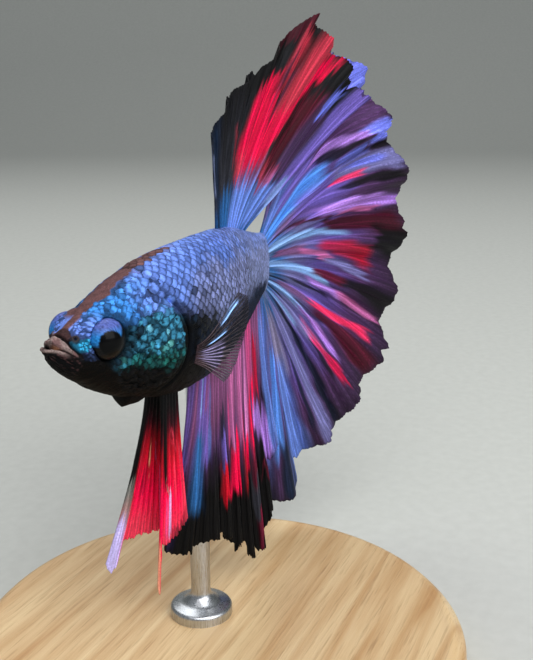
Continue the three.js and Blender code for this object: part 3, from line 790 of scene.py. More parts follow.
def paint_lips(coat):
    """The brown blotched lips, painted shade in the mouth's cleft and in the fold behind the upper lip, a
    painted highlight on the left upper lip, black below the mouth and the jaw's brown flecks.
    """
    along, height, over_cleft = coat.along, coat.height, coat.over_cleft
    fold_at = fold_place(height)
    blots, flecks, pores = (mottle(along * pitch, height * pitch + 5 * coat.side, seed)
                            for pitch, seed in ((3.3, 24), (5.1, 25), (6, 26)))
    lip = 1 - smooth(fold_at - 0.05, fold_at + 0.1, along)
    coat.lay(LIP, lip * smooth(0.0, 0.2, over_cleft))
    coat.lay(BROWN, lip * smooth(0.0, 0.5, blots) * smooth(2.0, 1.5, height) * 0.8)
    coat.lay(BLACK, lip * smooth(0.35, 0.75, pores) * smooth(1.9, 1.4, height) * 0.6)
    # Painted shade in the fold behind the upper lip.
    coat.lay(BLACK, bump(along - fold_at - 0.1, 0.13) * smooth(0.2, 0.5, over_cleft) * 1.2)
    coat.lay(BLACK, smooth(-0.3, -0.5, over_cleft + 0.15 * blots) * (1 - smooth(3.4, 5, along)))
    jaw = smooth(-1.6, -0.5, over_cleft) * (over_cleft < 0) * (1 - smooth(2.0, 3.0, along))
    coat.lay(BROWN * 0.8, smooth(0.35, 0.7, flecks) * jaw * 0.6)
    coat.lay(LIP, bump(over_cleft + 0.24, 0.12) * (1 - smooth(0.9, 1.6, along)) * 1.1)
    front = 1 - smooth(0.7, 1.3, along)
    # Painted shade in the mouth's cleft, widest at the front.
    coat.lay(BLACK, bump(over_cleft, lerp(0.06, 0.15, front)) * (along < 2.1) * 1.3)
    # Painted highlight on the left upper lip, just above the cleft, on the left side only.
    coat.lay(TAN * 0.8, bump(over_cleft - 0.07, 0.07) * bump(along - 0.9, 0.14) * (coat.side > 0))


def body_shine(along, girth):
    """1 where the skin is iridescent, 0 where it is bare brown or black."""
    down = from_back(girth)
    band = smooth(0.01, -0.01, band_depth(along, girth)) + smooth(14, 15.5, along)
    rear = smooth(13, 16, along)
    belly = 1 - smooth(0.62, 0.7, down) * (1 - rear) - smooth(0.5, 0.6, down) * rear
    return np.clip(band, 0, 1) * np.clip(belly, 0, 1) * smooth(1.8, 3.0, along)


# ---- Scales ----
class Scales:
    """Thin closed plates laid on the skin, each from its root toward the tail.

    The form is each scale's girth at the root, length, half width, lift of its free edge, lean round the
    body, crinkle of its face, unevenness of its outline, darkness of its rim and spread of its tint. Each
    is a number, or an array with one value a scale. The rim's darkness is partly the scale's own dark edge
    and partly painted shade in the gaps between scales.
    """

    def __init__(self, skin, along, **form):
        self.skin = skin
        self.form = {key: np.broadcast_to(value, along.shape) for key, value in form.items()}
        self.form["along"] = along

    def of(self, chosen, *keys):
        """Values of the chosen scales, shaped to go with a grid of points each."""
        return [self.form[key][chosen][:, None, None] for key in keys]

    def spread(self, chosen, out, over, seed, chance):
        """Where on the skin the grid points of the chosen plates lie."""
        along, girth, length, width, lean, uneven = self.of(
            chosen, "along", "girth", "length", "width", "lean", "uneven")
        ragged = uneven * wander(over * 2.2 + chance.uniform(0, 400, (len(chosen), 1, 1)), seed + 1)
        reach = 0.62 + 0.38 * np.sqrt(1 - 0.97 * over ** 2) + ragged
        forward = out * reach * length
        sideways = over * (0.78 + 0.22 * np.sin(math.pi * np.minimum(out * 1.15, 1))) * width
        step_along = forward * np.cos(lean) - sideways * np.sin(lean)
        step_round = forward * np.sin(lean) + sideways * np.cos(lean)
        toward_belly = np.where(girth < 0.5, -1, 1)
        at_along = np.clip(along + step_along, 0.6, STANDARD_LENGTH - 0.25)
        return at_along, girth + toward_belly * step_round / perimeter(along)

    def face_rise(self, chosen, out, over, along, girth, seed):
        """Height of the plates' domed and crinkled faces over the skin. The roots lie under it."""
        lift, crinkle = self.of(chosen, "lift", "crinkle")
        around = girth * perimeter(along)
        creases = mottle(along * 3.1, around * 3.1, seed + 2)
        creases = creases + 0.5 * mottle(along * 6.5, around * 6.5, seed + 3)
        dome = 0.05 * (1 - over ** 2) * np.sin(math.pi * out ** 0.8)
        return -0.06 + lift * out ** 0.9 + dome + crinkle * creases * np.minimum(3 * out, 1)

    def plates(self, chosen, steps, sides, seed):
        """Points, attribute values, colours and bake map of the chosen plates."""
        chance = np.random.default_rng(seed)
        out, over = np.meshgrid(np.linspace(0, 1, steps + 1), np.linspace(-1, 1, sides + 1), indexing="ij")
        places = self.spread(chosen, out, over, seed, chance)
        points, normals = self.skin.sample(*places)
        rise = self.face_rise(chosen, out, over, *places, seed)
        top = points + normals * rise[..., None]
        bottom = points + normals * (rise - PLATE_THICKNESS)[..., None]
        block = np.stack([top, bottom], 1).reshape(len(chosen), -1, 3)
        along, girth = self.form["along"][chosen], self.form["girth"][chosen] % 1
        tint = chance.uniform(-1, 1, len(chosen))
        paint = body_paint(along, girth, *skin_section(along, girth))
        paint = paint * (1 + (self.form["tint"][chosen] * tint)[:, None])
        grids = {"lay": out, "lay_side": over, "edge": np.maximum(np.abs(over), out),
                 "tint": tint[:, None, None], "shine": body_shine(along, girth)[:, None, None],
                 "rim": self.of(chosen, "rim")[0]}
        values = {}
        for key, grid in grids.items():
            grid = np.broadcast_to(grid, rise.shape)
            values[key] = np.stack([grid, grid], 1).ravel()
        patch = np.stack([out - 0.5, over / 2], -1).reshape(1, -1, 2) * BAKE_PATCH
        bake = np.stack([along / STANDARD_LENGTH, girth], -1)[:, None] + np.concatenate([patch, patch], 1)
        return block, values, np.repeat(paint[:, None], block.shape[1], 1), bake

    def mesh(self, name, chosen, material, seed, steps=6, sides=6):
        block, values, paint, bake = self.plates(chosen, steps, sides, seed)
        count, per_plate = block.shape[:2]
        starts = (np.arange(count) * per_plate)[:, None, None]
        faces = [(starts + part[None]).reshape(-1, 4) for part in sheet_faces(steps + 1, sides + 1)]
        return make_mesh(name, block.reshape(-1, 3), faces, material, values, paint.reshape(-1, 3),
                         bake.reshape(-1, 2))


def scale_lattice(start, end, pitch_at, chance, step, jitter):
    """Staggered columns of scale roots with a pitch that depends on the distance along the body.

    The step from column to column and the jitter of the roots are in pitches.
    """
    along, girth, pitches = [], [], []
    column = 0
    while start < end:
        pitch = pitch_at(start)
        count = int(round(perimeter(start) / pitch))
        along.append(np.full(count, start))
        girth.append((np.arange(count) + 0.5 * (column % 2)) / count)
        pitches.append(np.full(count, pitch))
        start += pitch * step
        column += 1
    along, girth, pitches = map(np.concatenate, (along, girth, pitches))
    along = along + chance.normal(0, jitter, len(along)) * pitches
    girth = (girth + chance.normal(0, jitter, len(along)) * pitches / perimeter(along)) % 1
    return along, girth, pitches


def trunk_scales(skin):
    """Even rows of overlapping scales from the gill covers to the tail."""
    chance = np.random.default_rng(31)
    along, girth, pitch = scale_lattice(9.0, STANDARD_LENGTH - 1.2, lambda at: perimeter(at) / SCALE_ROWS,
                                        chance, step=0.5, jitter=0.03)
    _, height = skin_section(along, girth)
    down = from_back(girth)
    nape = along > lerp(9.4, 12.2, smooth(0.1, 0.4, down))
    belly = along > lerp(12.0, 13.4, smooth(0.6, 0.9, down))
    keep = (gill_reach(along, height) > 1.34) & nape & ((down <= 0.5) | belly) & (along > 9.2)
    # How dark each rim is drawn: partly the scales' own dark edges, partly painted shade in the gaps between
    # them, strongest down the flanks and weaker toward the tail.
    gaps = lerp(0.7, 1, smooth(0.2, 0.4, down)) * lerp(1, 0.5, smooth(26, 34, along))
    length = pitch * 1.5 * chance.uniform(0.94, 1.06, len(along))
    scales = Scales(skin, along, girth=girth, length=length, width=pitch * 0.6,
                    lift=(0.09 + 0.05 * gaps) * chance.uniform(0.7, 1.2, len(along)),
                    lean=chance.normal(0, 0.06, len(along)), crinkle=0.02, uneven=0.04, rim=gaps, tint=0.35)
    return scales, np.flatnonzero(keep)


def head_pitch(along):
    """Distance between the roots of the head's scales."""
    return float(curve([(2, 0.23), (3.2, 0.34), (4.5, 0.52), (8, 0.74)], along))


def eye_reach(along, side, height):
    """1 on the surface of the eyeball, more outside it."""
    flat = np.hypot(along - EYE["along"], height - EYE["height"]) / EYE["radius"]
    return np.hypot(flat, (np.abs(side) - EYE["side"]) / EYE["bulge"])


def head_scales(skin):
    """Rounder, uneven scales over the crown, cheeks and gill covers, smallest toward the snout."""
    chance = np.random.default_rng(32)
    along, girth, pitch = scale_lattice(2.0, 13.4, head_pitch, chance, step=0.55, jitter=0.13)
    pitch = pitch * chance.uniform(0.85, 1.2, len(along))
    side, height = skin_section(along, girth)
    down = from_back(girth)
    clear_of_eye = eye_reach(along + np.where(along < EYE["along"], 0.85, 0.1) * pitch, side, height) > 1.12
    reach = gill_reach(along, height)
    on_cover = (reach < 1) & (gill_reach(along + pitch * 1.2, height) < 1.05)
    before_trunk = along < lerp(9.3, 11.2, smooth(0.1, 0.4, down))
    before_cover = (reach > 1.0) & before_trunk & ((along < 9) | (height > 1.6))
    jaw = (down < 0.6) | (along > 4.5 + 6 * (down - 0.6))
    snout = (along > 3.4) | (snout_patch(along, down) > 0.4) | (suborbital(along, height) < 1)
    snout = snout & (nostril_far(along, side, height) > 0.42) & (along > fold_place(height) + 0.35)
    off_band = (band_depth(along, girth) < -0.008) | (along > 9)
    keep = clear_of_eye & jaw & snout & off_band & (down < 0.86) & (on_cover | before_cover)
    cheek = smooth(0.3, 0.42, down) * smooth(5.2, 6.4, along)
    band = smooth(-0.02, 0.02, band_depth(along, girth))
    # The rims' darkness is partly the scales' own dark edges and partly painted shade in the gaps, less on
    # the brown band.
    scales = Scales(skin, along, girth=girth, length=pitch * 1.55, width=pitch * lerp(0.64, 0.55, cheek),
                    lift=lerp(0.09, 0.15, cheek) * (1 - 0.6 * band) * chance.uniform(0.5, 1.3, len(along)),
                    lean=chance.normal(0, 0.2, len(along)) - 0.45 * cheek,
                    crinkle=lerp(0.03, 0.1, cheek) * (1 - 0.7 * band), uneven=0.12,
                    rim=lerp(0.8, 1.0, cheek) * (1 - 0.6 * band), tint=lerp(0.25, 0.45, cheek))
    return scales, np.flatnonzero(keep)


def scale_material():
    """Scales with fine rays and growth rings, dark at their rims, partly from their own dark edges and partly
    as painted shade in the gaps, and with a painted shadow where the scales ahead cover them.
    """
    look = Look("scale_plates", Specular_IOR_Level=0.1)
    paint = look.attribute("paint", "Color")
    names = ("lay", "lay_side", "edge", "tint", "shine", "rim")
    lay, side, edge, tint, shine, rim = map(look.attribute, names)
    rays = look.noise(look.combine(look.times(lay, 3.0), look.times(side, 9.0), look.times(tint, 37.0)), 1.6)
    # Dark rims: partly the scales' own dark edges, partly painted shade in the gaps between scales.
    dark_rim = look.times(look.span(edge, 0.74, 1.0), rim)
    shade = look.math("SUBTRACT", 1.0, look.times(dark_rim, 0.8))
    off_middle = look.math("ABSOLUTE", side)
    # Painted shadow under the free edges of the scales ahead and just past them.
    covered = look.math("ADD", look.times(off_middle, 0.34), 0.33)
    bare = look.math("SUBTRACT", lay, covered)
    shadow = look.math("SUBTRACT", 1.2, look.times(look.span(bare, 0.2, 0.0), rim))
    tone = look.times(look.times(shade, shadow), look.span(rays, 0.3, 0.75, 0.75, 1.4))
    look.feed(Base_Color=look.shaded(paint, tone), Metallic=look.times(shine, 0.45))
    look.feed(Roughness=look.math("SUBTRACT", look.span(rays, 0.2, 0.8, 0.6, 0.8), look.times(shine, 0.25)))
    growth_rings = look.math("SINE", look.times(lay, 50.0))
    look.relief(look.math("ADD", rays, look.times(growth_rings, 0.04)), 0.03)
    return look.material


def skin_material():
    look = Look("skin", Specular_IOR_Level=0.07)
    paint, shine = look.attribute("paint", "Color"), look.attribute("shine")
    spot = look.object_place()
    grain = look.noise(spot, 7.0, 6.0)
    patches = look.noise(spot, 1.6)
    tone = look.times(look.span(grain, 0.25, 0.75, 0.6, 1.5), look.span(patches, 0.3, 0.7, 0.8, 1.2))
    look.feed(Base_Color=look.shaded(paint, tone))
    look.feed(Roughness=look.math("SUBTRACT", look.span(grain, 0.2, 0.8, 0.55, 0.8), look.times(shine, 0.15)))
    look.relief(grain, 0.07)
    return look.material


# ---- Fins ----
def fold(fin, across, out):
    """Folds of an unpaired fin, which deepen toward its margin."""
    growth = out ** 1.3 * lerp(fin["front_fold"], 1, np.clip(2 * across, 0, 1))
    return fin["fold_depth"] * growth * np.sin(2 * math.pi * (fin["folds"] * across + 0.25))


def sunk(out):
    """How deep in the body a ray's root lies: 1 at its start, and 0 a little way out."""
    return (1 - np.clip(out, 0, 1)) ** 9


def dorsal_surface(across, out):
    along = lerp(DORSAL["from"], DORSAL["to"], across)
    droop = DORSAL["rear_droop"] * smooth(0.5, 1, across) * (1 - np.clip(out, 0, 1)) ** 2
    elevation = np.radians(curve(DORSAL["elevation"], across) - droop)
    heading = lerp(spine(along)[2], math.radians(DORSAL["tip_heading"]), 0.4 + 0.6 * out)
    length = DORSAL_RAY * curve(DORSAL["length"], across) * out
    root = place(along, 0, section_lines(along)[0] + GAP - ROOT_DEPTH["dorsal"] * sunk(out))
    return (root + direction(heading, elevation) * length[..., None]
            + left_of(heading) * fold(DORSAL, across, out)[..., None])


def caudal_surface(across, out):
    degrees = lerp(CAUDAL["top"], CAUDAL["bottom"], across)
    elevation = np.radians(degrees)
    heading = np.radians(lerp(CAUDAL["root_heading"], CAUDAL["tip_heading"], out))
    length = CAUDAL_RAY * curve(CAUDAL["length"], degrees) * out
    along = CAUDAL["root_at"] + GAP + 0.4 * np.cos(elevation) - ROOT_DEPTH["caudal"] * sunk(out)
    root = place(along, 0, CAUDAL["root_half_height"] * np.sin(elevation) * (1 - 0.12 * sunk(out)))
    sway = fold(CAUDAL, across, out) + curve(CAUDAL["sway"], across) * out
    return root + direction(heading, elevation) * length[..., None] + left_of(heading) * sway[..., None]


def anal_surface(across, out):
    along = lerp(ANAL["from"], ANAL["to"], across)
    heading = spine(along)[2]
    elevation = np.radians(curve(ANAL["elevation"], across))
    length = ANAL_RAY * curve(ANAL["length"], across) * out
    sway = curve(ANAL["sway"], across) * out ** 1.4 + fold(ANAL, across, out)
    root = place(along, 0, section_lines(along)[1] - GAP + ROOT_DEPTH["anal"] * sunk(out))
    return root + direction(heading, elevation) * length[..., None] + left_of(heading) * sway[..., None]


def underside(along, side):
    """Height of the body's lower surface."""
    _, belly, widest, half = section_lines(along)
    downward = (1 - (np.abs(side) / half) ** SECTION_POWER) ** (1 / SECTION_POWER)
    return widest + (belly - widest) * downward


def flank_side(along, height):
    """How far to the side the body's surface lies."""
    back, belly, widest, half = section_lines(along)
    edge = np.where(height > widest, back, belly)
    upward = np.clip((height - widest) / (edge - widest), 0, 1)
    return half * (1 - upward ** SECTION_POWER) ** (1 / SECTION_POWER)


def pelvic_surface(name, across, out):
    fin, side = PELVICS[name], SIDES[name] * PELVIC_ROOT["side"]
    along = PELVIC_ROOT["along"] + PELVIC_ROOT["width"] * across
    length = PELVIC_RAY * curve(fin["length"], across) * out
    bow = out ** 1.2
    points = place(along, side, underside(along, side) - GAP + ROOT_DEPTH["pelvic"] * sunk(out))
    points[..., 0] += curve(fin["back"], across) * bow
    points[..., 1] -= curve(fin["left"], across) * bow
    points[..., 2] -= length
    return points


def pectoral_surface(name, across, out):
    side = SIDES[name]
    height = PECTORAL["height"] + lerp(1, -1, across) * PECTORAL["root_half_height"]
    along = np.full_like(height, PECTORAL["along"])
    clear = flank_side(along, height) + GAP + FIN_THICKNESS / 2 - ROOT_DEPTH["pectoral"] * sunk(out)
    elevation = np.radians(lerp(PECTORAL["top"], PECTORAL["bottom"], across))
    heading = spine(along)[2] - side * math.radians(PECTORAL["spread"])
    length = PECTORAL_RAY * curve(PECTORAL["length"], across) * out
    return place(along, side * clear, height) + direction(heading, elevation) * length[..., None]


def ray_distance(across, out, rays, forks):
    """Distance to the nearest branch of a ray, as a share of the spacing between whole rays."""
    near = np.abs((across * rays + 0.5) % 1 - 0.5)
    reach = 0.25
    for start in forks:
        near = np.abs(near - reach * smooth(start, start + 0.5, out))
        reach /= 2
    return near


def streaked(across, out, seed, count=150, along_ray=0.05, over=0.004):
    """Places on a fin jittered ray by ray, so that colours end in streaks."""
    jitter = wander(across * count, seed) + 0.5 * wander(across * 37, seed + 1)
    moved_out = out + along_ray * jitter
    moved_across = across + over * wander(out * 9 + 50 * across, seed + 2)
    return moved_across, moved_out


def paint_fin(across, out, ground, strokes, seed):
    """Lays brush strokes along the rays over a ground of (out, colour) bands."""
    across, out = streaked(across, out, seed)
    stops = [stop for stop, _ in ground]
    colours = np.array([colour for _, colour in ground])
    layers = [np.interp(out, stops, colours[:, channel]) for channel in range(3)]
    colour = np.stack(layers, -1)
    for tone, (start_across, start_out), (end_across, end_out), (start_half, end_half), amount in strokes:
        t = (out - start_out) / (end_out - start_out)
        middle = lerp(start_across, end_across, t)
        half = lerp(start_half, end_half, np.clip(t, 0, 1))
        inside = 1 - smooth(0.45, 1.1, np.abs(across - middle) / half)
        ends = smooth(-0.12, 0.1, t) * (1 - smooth(0.88, 1.12, t))
        colour = lerp(colour, tone, (amount * inside * ends)[..., None])
    return np.clip(colour, 0, None)


def fin_margin(across, tips, notch, seed):
    """Length of the rays at the margin: scalloped between ray tips, with some deeper splits."""
    scallop = 0.008 * (1 - tips)
    splits = notch * np.clip(wander(across * 47, seed) - 0.5, 0, 1)
    sway = 0.03 * (1 - wander(across * 17, seed + 1)) / 2
    return 1 - scallop - splits - sway


def fin_mesh(name, surface, paint, material, counts, rays, forks, pleat, notch, seed,
             ray_size=(0.13, 0.045), web=0.035, lean=((0, 0), (1, 0))):
    """A thin closed fin with branching rays standing proud of a finely pleated web.

    The counts are of points across and out. The ray size is a ray's half thickness at its root and tip,
    and the web's is its own. The lean is how far across each ray has moved by its tip, for places across.
    """
    rows, columns = counts
    across, out = np.meshgrid(np.linspace(0, 1, rows), np.linspace(0, 1, columns), indexing="ij")
    ray_across = across - curve(lean, across) * out
    tips = bump(ray_distance(ray_across[:, -1], np.ones(rows), rays, forks), 0.05)
    reach = out * lerp(1, fin_margin(across[:, -1], tips, notch, seed)[:, None], out ** 2)
    points = surface(across, reach)
    over, outward = np.gradient(points, axis=0), np.gradient(points, axis=1)
    normals = unit(np.cross(over, outward))
    spacing = np.linalg.norm(over, axis=-1) * (rows - 1) / rays
    near = ray_distance(ray_across, out, rays, forks) * spacing
    size = lerp(ray_size[0], ray_size[1], out)
    ray = bump(near, size * 1.1)
    turn = 2 * math.pi * rays * ray_across
    wave = pleat * out ** 0.7 * np.cos(PLEATS_PER_RAY * turn)
    fine = CREASE_DEPTH * pleat * np.cos(CREASES_PER_RAY * turn) * out
    middle = points + normals * (wave + fine)[..., None]
    half = (web + size * ray)[..., None]
    skin_points = np.concatenate([(middle + normals * half).reshape(-1, 3),
                                  (middle - normals * half).reshape(-1, 3)])
    values = {"across": ray_across, "out": out, "ray": ray}
    values = {key: np.tile(grid.ravel(), 2) for key, grid in values.items()}
    colour = paint(ray_across, out).reshape(-1, 3)
    half_map = np.stack([across.ravel(), out.ravel() * 0.49], -1)
    bake = np.concatenate([half_map, half_map + (0, 0.51)])
    return make_mesh(name, skin_points, sheet_faces(rows, columns), material, values,
                     np.concatenate([colour, colour]), bake)


def fin_look(name, streaks, ray_glow=1.25, web_shade=0.7):
    """Painted web and rays with fine streaks along the rays and cross joints on them."""
    look = Look(name, Specular_IOR_Level=0.12)
    across, out, ray = map(look.attribute, ("across", "out", "ray"))
    paint = look.attribute("paint", "Color")
    lines = look.noise(look.combine(look.times(across, streaks), look.times(out, 7.0)), 1.0, 4.0, 0.3)
    grains = look.noise(look.object_place(), 6.0, 4.0)
    tone = look.times(look.span(lines, 0.3, 0.72, 0.75, 1.25), look.span(grains, 0.3, 0.7, 0.8, 1.2))
    tone = look.times(tone, look.span(ray, 0.0, 0.9, web_shade, ray_glow))
    look.feed(Base_Color=look.shaded(paint, tone), Roughness=look.span(lines, 0.2, 0.8, 0.45, 0.65))
    joints = look.times(look.math("SINE", look.times(out, 260.0)), ray)
    look.relief(look.math("ADD", lines, look.times(joints, 0.15)), 0.06)
    return look


def clear_fin_look():
    """The pectoral fins' look: a web that lets the flank show through between dusky rays."""
    look = fin_look("pectoral_web", 60.0, ray_glow=2.4, web_shade=0.4)
    look.feed(Alpha=look.span(look.attribute("ray"), 0.15, 0.6, 0.32, 0.9))
    return look


# Each stroke is a colour, its start and end as (across, out), its half widths there and its strength.
CAUDAL_GROUND = [(0, GREY_BLUE * 0.5), (0.08, STEEL_BLUE * 0.9), (0.2, GREY_VIOLET * 0.8),
                 (0.45, VIOLET * 0.55), (0.7, PLUM * 0.7), (1, DUSK)]
CAUDAL_STROKES = [
    (PLUM, (0.03, 0.15), (0.03, 0.85), (0.1, 0.1), 0.8),
    (VIOLET_BLUE, (0.05, 0.84), (0.05, 1.02), (0.06, 0.06), 0.9),
    (NIGHT, (0.09, 0.45), (0.09, 0.95), (0.012, 0.015), 0.8),
    (PERIWINKLE, (0.1, 0.0), (0.11, 0.35), (0.06, 0.04), 0.8),
    (VIOLET, (0.15, 0.2), (0.15, 0.5), (0.03, 0.035), 0.85),
    (PLUM, (0.13, 0.5), (0.13, 1.02), (0.035, 0.035), 0.8),
    (BRIGHT_BLUE, (0.21, 0.03), (0.203, 0.52), (0.06, 0.025), 1.0),
    (LILAC, (0.15, 0.46), (0.172, 0.9), (0.013, 0.015), 0.95),
    (VIOLET_BLUE * 1.4, (0.176, 0.84), (0.181, 1.02), (0.022, 0.028), 0.95),
    (BLACK, (0.176, 0.5), (0.178, 0.76), (0.015, 0.012), 0.85),
    (MAUVE, (0.26, 0.1), (0.26, 0.3), (0.03, 0.03), 0.5),
    (VIOLET, (0.256, 0.25), (0.25, 0.7), (0.05, 0.045), 0.85),
    (GREY_VIOLET, (0.235, 0.55), (0.245, 1.0), (0.025, 0.025), 0.9),
    (VIOLET_BLUE, (0.232, 0.6), (0.24, 0.9), (0.008, 0.01), 0.7),
    (HOT_PINK, (0.257, 0.56), (0.257, 0.78), (0.007, 0.008), 0.85),
    (VIOLET_BLUE * 0.5, (0.208, 0.6), (0.206, 0.84), (0.02, 0.018), 0.9),
    (BLACK, (0.212, 0.86), (0.215, 1.02), (0.009, 0.012), 0.85),
    (BLACK, (0.278, 0.62), (0.277, 1.02), (0.007, 0.014), 0.9),
    (PERIWINKLE, (0.29, 0.02), (0.29, 0.12), (0.04, 0.03), 0.7),
    (PLUM, (0.3, 0.15), (0.31, 0.5), (0.03, 0.02), 0.6),
    (VIOLET, (0.31, 0.32), (0.315, 0.6), (0.02, 0.02), 0.7),
    (MAROON * 0.5, (0.29, 0.1), (0.36, 0.52), (0.01, 0.009), 0.85),
    (LILAC, (0.318, 0.4), (0.33, 1.0), (0.022, 0.014), 1.0),
    (ROSE, (0.338, 0.5), (0.343, 0.82), (0.006, 0.007), 0.8),
    (PALE_BLUE, (0.352, 0.02), (0.388, 0.54), (0.034, 0.008), 1.0),
    (MAROON * 0.5, (0.368, 0.46), (0.372, 1.0), (0.02, 0.026), 0.95),
    (RED, (0.42, 0.4), (0.44, 0.82), (0.02, 0.026), 0.75),
    (BLACK, (0.4, 0.78), (0.405, 1.02), (0.03, 0.036), 0.95),
    (BLACK, (0.407, 0.04), (0.41, 0.22), (0.006, 0.006), 0.8),
    (MAUVE, (0.42, 0.08), (0.43, 0.3), (0.022, 0.02), 0.75),
    (ROSE, (0.43, 0.26), (0.46, 0.52), (0.014, 0.013), 0.9),
    (GREY_VIOLET, (0.462, 0.48), (0.476, 0.8), (0.011, 0.011), 0.9),
    (PALE_BLUE, (0.478, 0.02), (0.528, 0.52), (0.036, 0.007), 1.0),
    (MAROON, (0.503, 0.36), (0.507, 0.62), (0.013, 0.014), 0.95),
    (BLACK, (0.505, 0.6), (0.505, 1.02), (0.014, 0.022), 0.9),
    (LILAC, (0.533, 0.35), (0.539, 0.65), (0.009, 0.01), 0.9),
    (ROSE, (0.537, 0.6), (0.538, 0.98), (0.008, 0.009), 0.8),
    (NIGHT, (0.578, 0.02), (0.575, 0.22), (0.008, 0.006), 0.9),
    (BLACK, (0.556, 0.2), (0.553, 0.52), (0.005, 0.006), 0.8),
    (MAUVE, (0.603, 0.1), (0.6, 0.42), (0.022, 0.018), 0.6),
    (VIOLET, (0.585, 0.2), (0.585, 0.5), (0.012, 0.012), 0.8),
    (MAROON, (0.617, 0.4), (0.613, 1.0), (0.014, 0.02), 0.9),
    (HOT_PINK, (0.6, 0.38), (0.58, 0.84), (0.011, 0.013), 1.0),
    (PALE_BLUE, (0.628, 0.03), (0.645, 0.44), (0.018, 0.006), 0.9),
    (LILAC, (0.642, 0.3), (0.65, 0.75), (0.008, 0.01), 0.95),
    (NIGHT, (0.605, 0.03), (0.612, 0.15), (0.006, 0.006), 0.9),
    (NIGHT, (0.66, 0.03), (0.668, 0.2), (0.012, 0.008), 0.9),
    (BLACK, (0.628, 0.25), (0.63, 0.5), (0.005, 0.006), 0.7),
    (GREY_VIOLET, (0.69, 0.12), (0.69, 0.5), (0.022, 0.02), 0.8),
    (ROSE, (0.675, 0.4), (0.677, 0.66), (0.016, 0.016), 0.7),
    (CRIMSON, (0.68, 0.5), (0.68, 0.85), (0.016, 0.018), 0.7),
    (BLACK, (0.7, 0.45), (0.702, 0.75), (0.006, 0.009), 0.8),
    (PALE_BLUE, (0.715, 0.03), (0.715, 0.3), (0.018, 0.012), 0.7),
    # Painted shade in the valley of a fold.
    (NIGHT * 0.6, (0.737, 0.12), (0.739, 1.02), (0.009, 0.012), 0.9),
    (GREY_VIOLET, (0.78, 0.08), (0.785, 1.0), (0.034, 0.035), 0.9),
    # Painted shade in the thin valley of a fold.
    (NIGHT, (0.822, 0.28), (0.823, 0.85), (0.004, 0.006), 0.8),
    (LILAC_GREY, (0.862, 0.1), (0.86, 0.5), (0.034, 0.03), 0.8),
    (PERIWINKLE, (0.87, 0.38), (0.87, 1.02), (0.03, 0.036), 0.95),
    (BRIGHT_BLUE, (0.917, 0.3), (0.92, 0.76), (0.012, 0.013), 0.75),
    (NIGHT, (0.91, 0.74), (0.912, 1.02), (0.012, 0.015), 0.9),
    (BLACK, (0.893, 0.6), (0.893, 1.02), (0.003, 0.005), 0.7),
    (PERIWINKLE, (0.96, 0.02), (0.96, 0.85), (0.035, 0.03), 0.85),
    (STEEL_BLUE, (0.985, 0.3), (0.985, 0.9), (0.02, 0.02), 0.7),
    (NIGHT, (0.97, 0.82), (0.97, 1.05), (0.04, 0.05), 0.9),
]
DORSAL_GROUND = [(0, STEEL_BLUE * 0.7), (0.15, STEEL_BLUE * 0.45), (0.3, CHARCOAL), (0.6, CHARCOAL * 0.6),
                 (1, BLACK * 2)]
DORSAL_STROKES = [
    (NIGHT, (0.05, 0.0), (0.06, 1.0), (0.06, 0.07), 0.85),
    (GREY_BLUE, (-0.01, 0.45), (-0.01, 1.0), (0.02, 0.025), 0.6),
    (STEEL_BLUE, (0.25, -0.05), (0.25, 0.24), (0.15, 0.12), 0.6),
    (PERIWINKLE, (0.58, -0.05), (0.6, 0.24), (0.27, 0.2), 0.95),
    (PERIWINKLE, (0.88, 0.05), (0.88, 0.34), (0.13, 0.1), 0.9),
    (MAUVE, (0.58, 0.2), (0.6, 0.34), (0.18, 0.15), 0.75),
    (CORAL, (0.43, 0.26), (0.43, 0.46), (0.05, 0.05), 0.7),
    (CORAL * 0.6, (0.32, 0.42), (0.31, 0.68), (0.035, 0.05), 0.5),
    (CRIMSON, (0.44, 0.4), (0.45, 0.83), (0.07, 0.045), 1.0),
    (CRIMSON, (0.56, 0.28), (0.55, 0.7), (0.09, 0.07), 1.0),
    (CRIMSON, (0.655, 0.3), (0.675, 0.6), (0.055, 0.035), 0.95),
    (CRIMSON, (0.5, 0.6), (0.52, 0.76), (0.04, 0.04), 0.9),
    (BLACK, (0.505, 0.8), (0.51, 1.04), (0.022, 0.03), 0.9),
    (CORAL, (0.6, 0.66), (0.61, 0.97), (0.06, 0.06), 0.9),
    (MAROON * 0.6, (0.57, 0.64), (0.59, 0.75), (0.05, 0.05), 0.7),
    (DUSK, (0.555, 0.5), (0.57, 0.85), (0.006, 0.009), 0.7),
    (DUSK, (0.645, 0.5), (0.665, 0.8), (0.007, 0.01), 0.8),
    (CORAL * 0.75, (0.69, 0.58), (0.74, 1.04), (0.04, 0.065), 0.95),
    (CRIMSON, (0.69, 0.4), (0.81, 1.0), (0.025, 0.025), 1.0),
    (BLACK, (0.42, 0.84), (0.42, 1.04), (0.06, 0.07), 0.9),
    (MAROON * 0.5, (0.56, 0.93), (0.56, 1.05), (0.08, 0.1), 0.9),
    (CORAL * 0.6, (0.8, 0.26), (0.8, 0.38), (0.1, 0.08), 0.7),
    (MAROON * 0.7, (0.78, 0.36), (0.83, 0.8), (0.06, 0.045), 0.95),
    (MAROON * 0.25, (0.745, 0.42), (0.79, 0.62), (0.03, 0.03), 0.85),
    (PLUM * 0.7, (0.89, 0.36), (0.9, 0.8), (0.07, 0.06), 0.85),
    (BLACK, (0.86, 0.8), (0.88, 1.04), (0.035, 0.05), 0.8),
    (VIOLET_BLUE, (0.9, 0.74), (0.915, 0.94), (0.03, 0.035), 0.85),
    (VIOLET, (0.975, 0.2), (0.98, 1.02), (0.03, 0.03), 0.8),
    (PALE_BLUE, (0.98, 0.18), (0.98, 0.36), (0.03, 0.03), 0.6),
]
